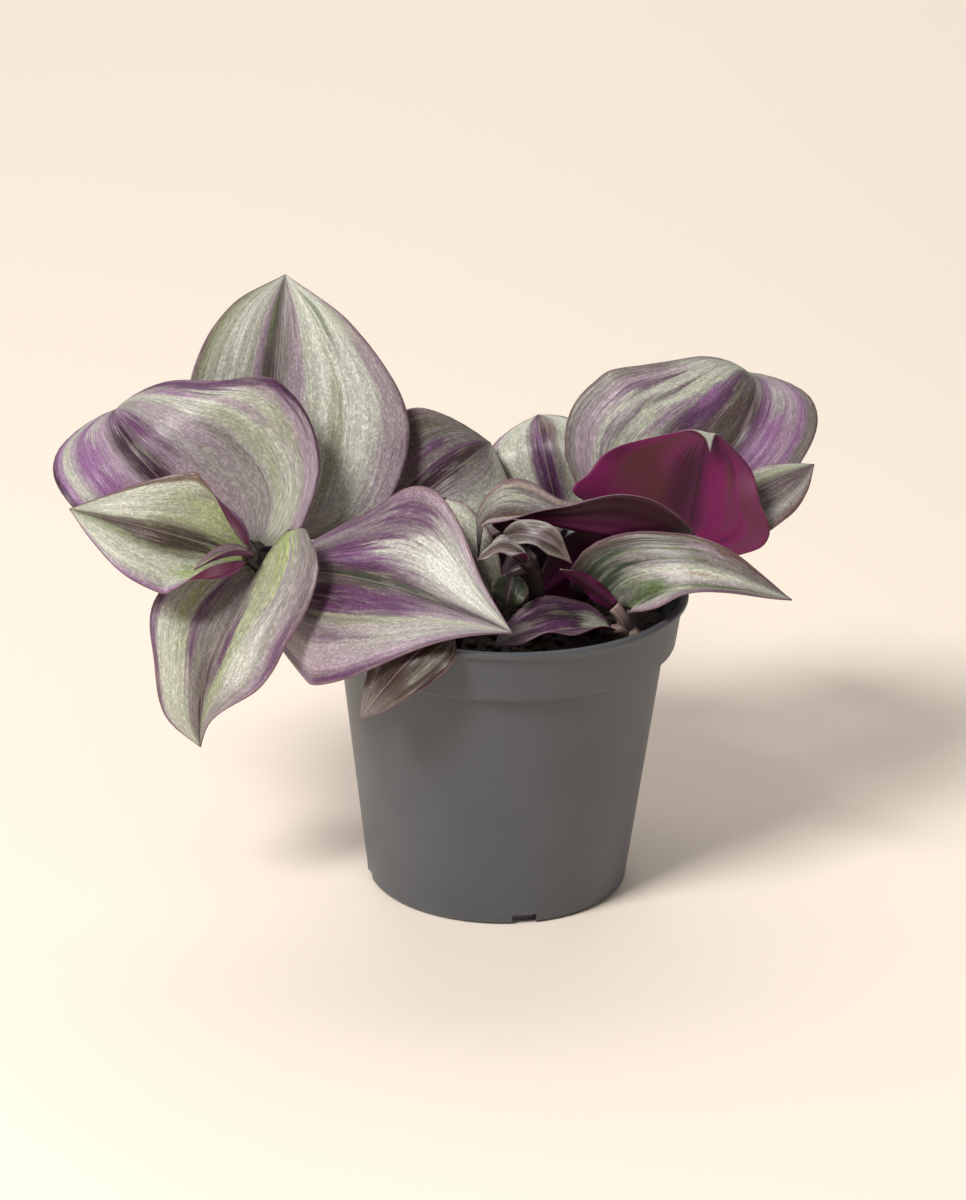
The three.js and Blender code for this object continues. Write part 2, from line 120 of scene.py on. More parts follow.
def makeCamera():
    width, height = camera["frame"]
    data = bpy.data.cameras.new("camera")
    cam = newObject("camera", data)
    tilt, roll = radians(90 - camera["elevation"]), radians(camera["roll"])
    turned = Matrix.Rotation(tilt, 4, "X") @ Matrix.Rotation(roll, 4, "Z")
    cam.matrix_world = turned
    cam.location = (Vector(camera["lookAt"]) + turned @ Vector((0, 0, camera["distance"]))) * mm
    data.sensor_width = camera["sensor"]
    data.lens = camera["sensor"] * camera["pixelsPerMm"] * camera["distance"] / height
    data.shift_x = (width / 2 - camera["lookPixel"][0]) / height
    data.shift_y = (camera["lookPixel"][1] - height / 2) / height
    data.clip_start, data.clip_end = camera["clip"]
    bpy.context.scene.camera = cam


makeCamera()
print("camera placed")


# Soft studio light and a pale floor

studio = dict(
    key=dict(place=(-0.75, -0.85, 1.25), target=(0, 0, 0.08), size=0.5, power=24.5, colour="#FFFCF8"),
    fill=dict(place=(1.1, -0.9, 0.5), target=(0, 0, 0.08), size=1.0, power=0.7, colour="#FFF2E8"),
    back=dict(place=(0, 1.5, 1.5), target=(0, 1.1, 0), size=1.6, power=17, colour="#FFFCF8"),
    sky="#FFFAF4", skyStrength=0.23, floor="#FFF3E6",
    floorSize=9000, floorDrop=0.2,      # in mm
)


def makeLight(name, place, target, size, power, colour):
    data = bpy.data.lights.new(name, "AREA")
    data.size, data.energy, data.color = size, power, fromHex(colour)[:3]
    light = newObject(name, data)
    light.location = place
    light.rotation_euler = (Vector(target) - Vector(place)).to_track_quat("-Z", "Y").to_euler()


def makeStudio():
    for name in ("key", "fill", "back"):
        makeLight(name, **studio[name])
    world = bpy.data.worlds.new("studio")
    bpy.context.scene.world = world
    world.use_nodes = True
    sky = world.node_tree.nodes["Background"].inputs
    sky["Color"].default_value = fromHex(studio["sky"])
    sky["Strength"].default_value = studio["skyStrength"]
    half = studio["floorSize"] / 2
    corners = [(-half, -half, 0), (half, -half, 0), (half, half, 0), (-half, half, 0)]
    floor = newBody("floor", corners, [(0, 1, 2, 3)])
    floor.location.z = -studio["floorDrop"] * mm
    material, tree = newMaterial("matt painted floor")
    grain = addNoise(tree, scale=400, detail=2)
    finishMaterial(tree, fromHex(studio["floor"]), 0.8, 1.5, (0.05, 0.0005, grain))
    floor.data.materials.append(material)
    bpy.context.scene.view_settings.view_transform = "Standard"


makeStudio()
print("studio lit")


# Pieces

# kinds says which of the materials each face has
def makePiece(name, node, points, faces, materials, kinds=None):
    piece = newBody(name, points, faces)
    for material in materials:
        piece.data.materials.append(material)
    if kinds:
        piece.data.polygons.foreach_set("material_index", kinds)
    piece.data.shade_smooth()
    piece.data.validate()
    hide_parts(node)
    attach(piece, "root")
    return piece


def paintPoints(piece, name, vectors):
    attribute = piece.data.attributes.new(name, "FLOAT_VECTOR", "POINT")
    attribute.data.foreach_set("vector", [c for v in vectors for c in v])


# Puts one more closed body into the same lists
def joinBody(points, faces, more, moreFaces):
    shift = len(points)
    points += more
    faces += [tuple(i + shift for i in face) for face in moreFaces]


# Faces between two rings of points, either of which may be a single point
def bridge(low, high, sides, order=(0, 1, 2, 3)):
    faces = []
    for k in range(sides):
        corners = low[k % len(low)], low[(k + 1) % len(low)], high[(k + 1) % len(high)], high[k % len(high)]
        faces.append(tuple(dict.fromkeys(corners[i] for i in order)))
    return faces


# Leaves: each blade follows its rib from foot to tip, as the solid one does, with finer rows,
# a groove over the rib, pleats along the veins, a thin margin and a long fine point

blade = dict(
    stations=(0, 0.12, 0.35, 0.6, 0.85, 1), petioleHalfWidth=1.6, tipHalfWidth=0.12,
    thickness=0.5, marginThickness=0.2, groove=0.4, grooveWidth=1.1,
    pleatSpacing=4.6,               # every few veins fold the blade a little
    frill=0.3, frillLength=9,       # small uneven waves of the margin, besides two long ones
    rowSpacing=1.3, mostRows=56, veinSpacing=1.1, veins=(8, 32),
    tangentStep=0.012, nodStep=0.02, nodSteps=8, nodShare=0.4, lobeStart=0.04, lobeEnd=0.4,
    foldFrom=2 / 3, foldTo=0.74, foldEnd=0.4, foldPower=0.7, foldLean=0.45,
)


def smooth(at, values, v):
    last = len(at) - 1
    k = 0
    while k < last - 1 and v >= at[k + 1]:
        k += 1

    def slope(n):
        before, after = max(n - 1, 0), min(n + 1, last)
        return (values[after] - values[before]) / (at[after] - at[before])
    span = at[k + 1] - at[k]
    t = (v - at[k]) / span
    return ((2 * t ** 3 - 3 * t ** 2 + 1) * values[k] + (t ** 3 - 2 * t ** 2 + t) * span * slope(k)
            + (3 * t ** 2 - 2 * t ** 3) * values[k + 1] + (t ** 3 - t ** 2) * span * slope(k + 1))


# The rib, bowed toward the upper face and swept to the left; past nod[0] it soon bends over by nod[1]
# degrees and to the left by nod[2]
class Rib:
    def __init__(self, leaf):
        self.foot = Vector(leaf["foot"])
        self.chord = Vector(leaf["tip"]) - self.foot
        along = self.chord.normalized()
        up = Vector(leaf["face"])
        self.up = (up - along * up.dot(along)).normalized()
        self.left = self.up.cross(along)
        self.bow, self.crest, self.sweep = leaf["bow"], leaf["crest"], leaf["sweep"]
        self.bendStart, self.bendOver, self.bendLeft = leaf["nod"]

    def hump(self, v):
        return v ** (2 * self.crest) * (1 - v) ** (2 - 2 * self.crest)

    def arch(self, v):
        rise = self.bow * self.hump(v) / self.hump(self.crest)
        return self.foot + self.chord * v + self.up * rise + self.left * (4 * self.sweep * v * (1 - v))

    def point(self, v):
        if v <= self.bendStart:
            return self.arch(v)
        place = self.arch(self.bendStart)
        heading = (place - self.arch(self.bendStart - blade["nodStep"])) / blade["nodStep"]
        step = (v - self.bendStart) / blade["nodSteps"]
        for k in range(blade["nodSteps"]):
            turn = radians(min((k + 0.5) * step / (1 - self.bendStart) / blade["nodShare"], 1))
            turned = Matrix.Rotation(self.bendLeft * turn, 3, self.up) @ heading
            place = place + Matrix.Rotation(self.bendOver * turn, 3, self.left) @ turned * step
        return place

    def tangent(self, v):
        step = blade["tangentStep"]
        return (self.point(min(v + step, 1)) - self.point(max(v - step, 0))).normalized()


# One row of points from the left margin over the rib to the right one, each with its share of the
# width (left is negative) and its distance from the rib
def leafRow(leaf, rib, v, perSide, seed):
    centre, along = rib.point(v), rib.tangent(v)
    side = (rib.left - along * rib.left.dot(along)).normalized()
    up = along.cross(side)
    onset = min(v / blade["lobeStart"], 1)
    lobeFade = max(1 - v / blade["lobeEnd"], 0) ** leaf["lobeFade"]
    foldFade = max(1 - v / blade["foldEnd"], 0) ** blade["foldPower"]
    row = [(centre, 0.0, 0.0)]
    for k, sign, halfWidths in ((0, -1, leaf["left"]), (1, 1, leaf["right"])):
        outward = side * -sign
        width = smooth(blade["stations"], (blade["petioleHalfWidth"], *halfWidths, 0), v)
        width = max(width, blade["tipHalfWidth"])
        fullness = width / max(halfWidths)
        rise = radians(smooth((0, 0.5, 1), leaf["lift"][k], v))
        roll = radians(leaf["curl"][k]) * fullness
        cordate = leaf["lobe"][k] * lobeFade * onset
        crease = radians(leaf["fold"][k]) * foldFade * onset
        spine = centre.copy()
        for j in range(1, perSide + 1):
            share = j / perSide
            pastFold = max(share - blade["foldFrom"], 0)
            folded = min(pastFold / (blade["foldTo"] - blade["foldFrom"]), 1)
            angle = rise + roll * (share - 0.5 / perSide) + crease * folded
            spine += (outward * cos(angle) + up * sin(angle)) * (width / perSide)
            ripple = leaf["wave"] * sin(2 * tau * v + 2 * k) * share ** 2 * fullness
            uneven = noise.noise(Vector((v * rib.chord.length / blade["frillLength"], sign, seed)))
            ripple += 2 * blade["frill"] * uneven * share ** 3 * fullness
            place = spine + up * (ripple * cos(angle)) - outward * (ripple * sin(angle))
            reachBack = share ** leaf["lobePower"] * (1 - leaf["lobeRound"] * share ** 4)
            place -= rib.chord.normalized() * (cordate * reachBack)
            place += along * (blade["foldLean"] * crease * pastFold * width)
            entry = (place, sign * share, width * share)
            row.insert(0 if k == 0 else len(row), entry)
    return row


def makeLeaf(name, leaf, seed):
    rib = Rib(leaf)
    length = rib.chord.length
    widest = max(*leaf["left"], *leaf["right"])
    rows = min(max(round(length / blade["rowSpacing"]), leaf["rows"]), blade["mostRows"])
    fewest, most = blade["veins"]
    perSide = min(max(round(widest / blade["veinSpacing"]), fewest), most)
    grid = [leafRow(leaf, rib, i / rows, perSide, seed) for i in range(rows + 1)]
    across = 2 * perSide + 1
    layer = (rows + 1) * across
    top, bottom, places, sizes = [], [], [], []
    for i in range(rows + 1):
        v = i / rows
        before, after = grid[max(i - 1, 0)], grid[min(i + 1, rows)]
        full = [grid[i][0][2], grid[i][-1][2]]
        for j in range(across):
            place, share, reach = grid[i][j]
            over = grid[i][min(j + 1, across - 1)][0] - grid[i][max(j - 1, 0)][0]
            normal = over.cross(after[j][0] - before[j][0]).normalized()
            vein = share * widest
            fade = 4 * v * (1 - v)
            relief = -blade["groove"] * exp(-(reach / blade["grooveWidth"]) ** 2) * fade
            pleats = sin(tau * vein / blade["pleatSpacing"] + seed)
            relief += leaf["pleat"] * pleats * fade * abs(share) * (1 - share ** 2) * 2
            rest = (1 - abs(share)) ** 0.5
            half = (blade["marginThickness"] + (blade["thickness"] - blade["marginThickness"]) * rest) / 2
            top.append(place + normal * (relief + half))
            bottom.append(place + normal * (relief - half))
            places.append((share, v, seed))
            sizes.append((vein, v * length, full[0 if share < 0 else 1] - reach))
    faces, kinds = [], []
    for i in range(rows):
        for j in range(across - 1):
            a, b = i * across + j, (i + 1) * across + j
            faces += [(a, a + 1, b + 1, b), (layer + a, layer + b, layer + b + 1, layer + a + 1)]
            kinds += [0, 1]
    last = across - 1
    edge = [i * across for i in range(rows)] + [rows * across + j for j in range(last)]
    edge += [i * across + last for i in range(rows, 0, -1)] + list(range(last, 0, -1))
    for a, b in zip(edge, edge[1:] + edge[:1]):
        faces.append((a, b, layer + b, layer + a))
        kinds.append(0)
    materials = [leafUpper(name, leaf), leafLower(name, leaf["under"], leaf["underSpots"])]
    piece = makePiece(name + "-blade", name, top + bottom, faces, materials, kinds)
    paintPoints(piece, "leafPlace", places + places)
    paintPoints(piece, "leafMm", sizes + sizes)


# Leaf skin: silver where air lies under the clear outer cells, green and purple where it doesn't,
# in streaks that follow the veins from the foot to the tip

leafColours = dict(
    silver="#BDC0B0", bright="#D6D8CD", sage="#9BA283", green="#566A3C", lime="#A3B172", lilac="#A793A1",
    violet="#8F6491", purple="#603A5E", plum="#3B2234", mist="#9D9796", ash="#7B7371", rib="#574A48",
    olive="#575040", umber="#453B2F", forest="#333C2C", margin="#7A5D66", brown="#654B43",
    bronze="#8A7048", blush="#B3A39C", magenta="#74124F", mulberry="#67294A", claret="#530C3D",
    wine="#34121F", earth="#59292F",
)

# Width and length in mm, octaves of detail, and an offset that sets these streaks apart
streakFields = dict(
    broad=((4.5, 45), 3, 0), fine=((1.1, 11), 3, 5), speckle=((1.6, 9), 4, 31), wisps=((1.3, 16), 4, 13),
    veins=((0.5, 70), 1, 17), short=((0.5, 3.5), 2, 41),
    underVeins=((0.6, 70), 2, 7), underBands=((7, 45), 2, 3),
)

skin = dict(
    cell=(0.36, 0.6), cellOffset=9,     # the real cells are 0.1 mm, drawn coarser to show
    streakRoughness=0.55, raggedEdge=0.16, raggedEnd=0.25,
    leastLight=0.42, glint=0.5, shortLight=0.6, veinLight=0.12,
    upperRoughness=0.36, underRoughness=0.5, underClouds=48,
    driftAcross=(0.1, 0.14), driftAlong=(0.2, 0.5),     # of spots, by broad and by fine streaks
    # where a tint starts, where it is full, and how strong it is
    spotEdge=(1.35, 0.35), speckle=(0.52, 0.68, 0.3), wisps=(0.54, 0.7), margin=(0.5, 0.1, 0.7),
    ribLine=(0.35, 0.05, 0.3), deepRib=(9, 1, 0.85), underRibLine=(0.9, 0.2, 0.7),
)


def readStops(words):
    return [(float(part.split()[1]), leafColours[part.split()[0]]) for part in words.split(",")]


# The shader tree of a leaf, with each point's place (share of the width from the rib, way to the tip,
# seed) and its mm from the rib, from the foot and to the margin
class LeafTree:
    def __init__(self, name):
        self.material, self.tree = newMaterial(name)
        self.share, self.v, self.seed = self.read("leafPlace")
        self.vein, self.along, self.toMargin = self.read("leafMm")
        self.fromRib = self.maths("ABSOLUTE", self.vein)

    def read(self, name):
        attribute = add(self.tree, "Attribute", attribute_name=name)
        return add(self.tree, "SeparateXYZ", {0: attribute.outputs["Vector"]}).outputs

    def maths(self, operation, a, b=0.0, c=0.0):
        return add(self.tree, "Math", {0: a, 1: b, 2: c}, operation=operation).outputs[0]

    # a * factor + rest
    def plus(self, a, factor, rest):
        return self.maths("MULTIPLY_ADD", a, factor, rest)

    def joined(self, x, y, z=0.0):
        return add(self.tree, "CombineXYZ", {0: x, 1: y, 2: z}).outputs[0]

    def grainPlace(self, grain, offset):
        x, y = self.maths("DIVIDE", self.vein, grain[0]), self.maths("DIVIDE", self.along, grain[1])
        return self.joined(x, y, self.maths("ADD", self.seed, offset))

    def streaks(self, name):
        grain, detail, offset = streakFields[name]
        field = dict(scale=1.0, detail=detail, roughness=skin["streakRoughness"])
        return addNoise(self.tree, vector=self.grainPlace(grain, offset), **field)

    def cells(self):
        field = {"Vector": self.grainPlace(skin["cell"], skin["cellOffset"]), "Scale": 1.0}
        colour = add(self.tree, "TexVoronoi", field).outputs["Color"]
        return add(self.tree, "SeparateXYZ", {0: colour}).outputs[0]

    # Rises from 0 to top while value goes from low to high; low may be the larger
    def between(self, value, low, high, top=1.0):
        limits = {"Value": value, "From Min": low, "From Max": high, "To Max": top}
        return add(self.tree, "MapRange", limits, interpolation_type="SMOOTHSTEP").outputs[0]

    # The node has sockets for every kind of data; these are the ones for colours
    def blend(self, amount, a, b, how="MIX"):
        inputs = {0: amount, 6: a, 7: b}
        return add(self.tree, "Mix", inputs, data_type="RGBA", blend_type=how).outputs[2]

    def tinted(self, colour, word, value, low, high, strength=1.0):
        return self.blend(self.between(value, low, high, strength), colour, fromHex(leafColours[word]))

    # spots: colour, share (left is negative), way to the tip, half width, half length, strength
    def spotted(self, colour, spots, offBroad, offFine):
        drifted = []
        for (broad, fine), place in ((skin["driftAcross"], self.share), (skin["driftAlong"], self.v)):
            drifted.append(self.plus(offFine, fine, self.plus(offBroad, broad, place)))
        where = self.joined(*drifted)
        for spot in filter(None, spots.split(",")):
            word, *numbers = spot.split()
            share, v, wide, long, strength = (float(number) for number in numbers)
            turned = {0: where, 1: (1 / wide, 1 / long, 0), 2: (-share / wide, -v / long, 0)}
            shifted = add(self.tree, "VectorMath", turned, operation="MULTIPLY_ADD").outputs[0]
            away = add(self.tree, "VectorMath", {0: shifted}, operation="LENGTH").outputs["Value"]
            colour = self.tinted(colour, word, away, *skin["spotEdge"], strength)
        return colour


# Marks are the colours of each half from rib (0) to margin (1), what the foot and the tip fade to and
# where, the spots, and the strength of the wisps
def leafUpper(name, marks):
    leaf = LeafTree(name + ", fleshy leaf with silvered skin")
    tree, maths, plus = leaf.tree, leaf.maths, leaf.plus
    broad, fine, cells = leaf.streaks("broad"), leaf.streaks("fine"), leaf.cells()
    offBroad, offFine = maths("SUBTRACT", broad, 0.5), maths("SUBTRACT", fine, 0.5)
    ragged = skin["raggedEdge"]
    spread = plus(offBroad, ragged, maths("MULTIPLY", offFine, ragged))
    reach = maths("ADD", maths("ABSOLUTE", leaf.share), spread)
    halves = [addRamp(tree, reach, readStops(marks[half])) for half in ("leftMarks", "rightMarks")]
    colour = leaf.blend(maths("GREATER_THAN", leaf.share, 0), *halves)
    for fade, extreme in (("footFade", 0.0), ("tipFade", 1.0)):
        if marks[fade]:
            word, until = marks[fade].split()
            uneven = plus(offFine, skin["raggedEnd"], leaf.v)
            colour = leaf.tinted(colour, word, uneven, float(until), extreme)
    colour = leaf.spotted(colour, marks["spots"], offBroad, offFine)
    colour = leaf.tinted(colour, "sage", leaf.streaks("speckle"), *skin["speckle"])
    colour = leaf.tinted(colour, "lilac", leaf.streaks("wisps"), *skin["wisps"], marks["wisps"])
    veins = leaf.between(leaf.streaks("veins"), 0.3, 0.5)
    light = plus(leaf.streaks("short"), skin["shortLight"], maths("MULTIPLY", veins, skin["veinLight"]))
    # cells squared times glint paints glints into the colour: bright specks standing in for the sparkle of
    # light on the silver skin; the short streaks and vein lines are the skin's own tone
    light = maths("ADD", skin["leastLight"], plus(maths("MULTIPLY", cells, cells), skin["glint"], light))
    colour = leaf.blend(1.0, colour, leaf.joined(light, light, light), "MULTIPLY")
    colour = leaf.tinted(colour, "margin", leaf.toMargin, *skin["margin"])
    colour = leaf.tinted(colour, "blush", leaf.fromRib, *skin["ribLine"])
    height = plus(veins, 0.5, plus(cells, 0.6, maths("MULTIPLY", fine, 0.6)))
    relief, soft = (0.5, 0.00022, height), (0.08, (0.8, 0.5, 0.5))
    finishMaterial(tree, colour, skin["upperRoughness"], 1.45, relief, soft)
    return leaf.material


# Smooth, wine red to magenta in soft clouds, deeper along the rib with a dark line on it
def leafLower(name, tones, spots):
    leaf = LeafTree(name + ", smooth wine red underside")
    tree, maths, plus = leaf.tree, leaf.maths, leaf.plus
    place = add(tree, "TexCoord").outputs["Object"]
    clouds = addNoise(tree, vector=place, scale=skin["underClouds"], detail=2)
    veins, bands = leaf.streaks("underVeins"), leaf.streaks("underBands")
    mixed = plus(clouds, 1.3, plus(veins, 0.3, maths("MULTIPLY", bands, 0.9)))
    colour = addRamp(tree, maths("SUBTRACT", mixed, 0.75), readStops(tones))
    colour = leaf.tinted(colour, "claret", leaf.fromRib, *skin["deepRib"])
    colour = leaf.spotted(colour, spots, maths("SUBTRACT", bands, 0.5), maths("SUBTRACT", veins, 0.5))
    colour = leaf.tinted(colour, "wine", leaf.fromRib, *skin["underRibLine"])
    finishMaterial(tree, colour, skin["underRoughness"], 1.4, (0.2, 0.0001, veins), (0.08, (1.0, 0.3, 0.5)))
    return leaf.material


# Marks of the leaves that the photograph hardly shows
usual = dict(leftMarks="rib 0, plum .1, lilac .2, silver .3, silver .62, sage .74, purple .9, margin 1",
             footFade="purple .3", wisps=0.6)
# shaded: dark umber and wine marks, painted shade for leaves deep in the plant's dark centre
shaded = dict(leftMarks="umber 0, rib .4, umber .75, wine 1")

# What a leaf has if it gives no other. Lifts (degrees at foot, middle and tip), curls, lobes and folds
# are for its left half and its right one; right half widths and marks are else those of the left
usualLeaf = dict(
    crest=0.5, sweep=0, nod=(1, 0, 0), lift=((20, 10, 5), (20, 10, 5)), curl=(0, 0), wave=0.8,
    pleat=0.16, rows=22, lobe=(0, 0), lobePower=1.5, lobeFade=2, lobeRound=0, fold=(0, 0),
    spots="", wisps=0.4, footFade="", tipFade="", under="wine .1, mulberry .4, magenta .7", underSpots="",
)
raised = ((25, 15, 5), (25, 15, 5))

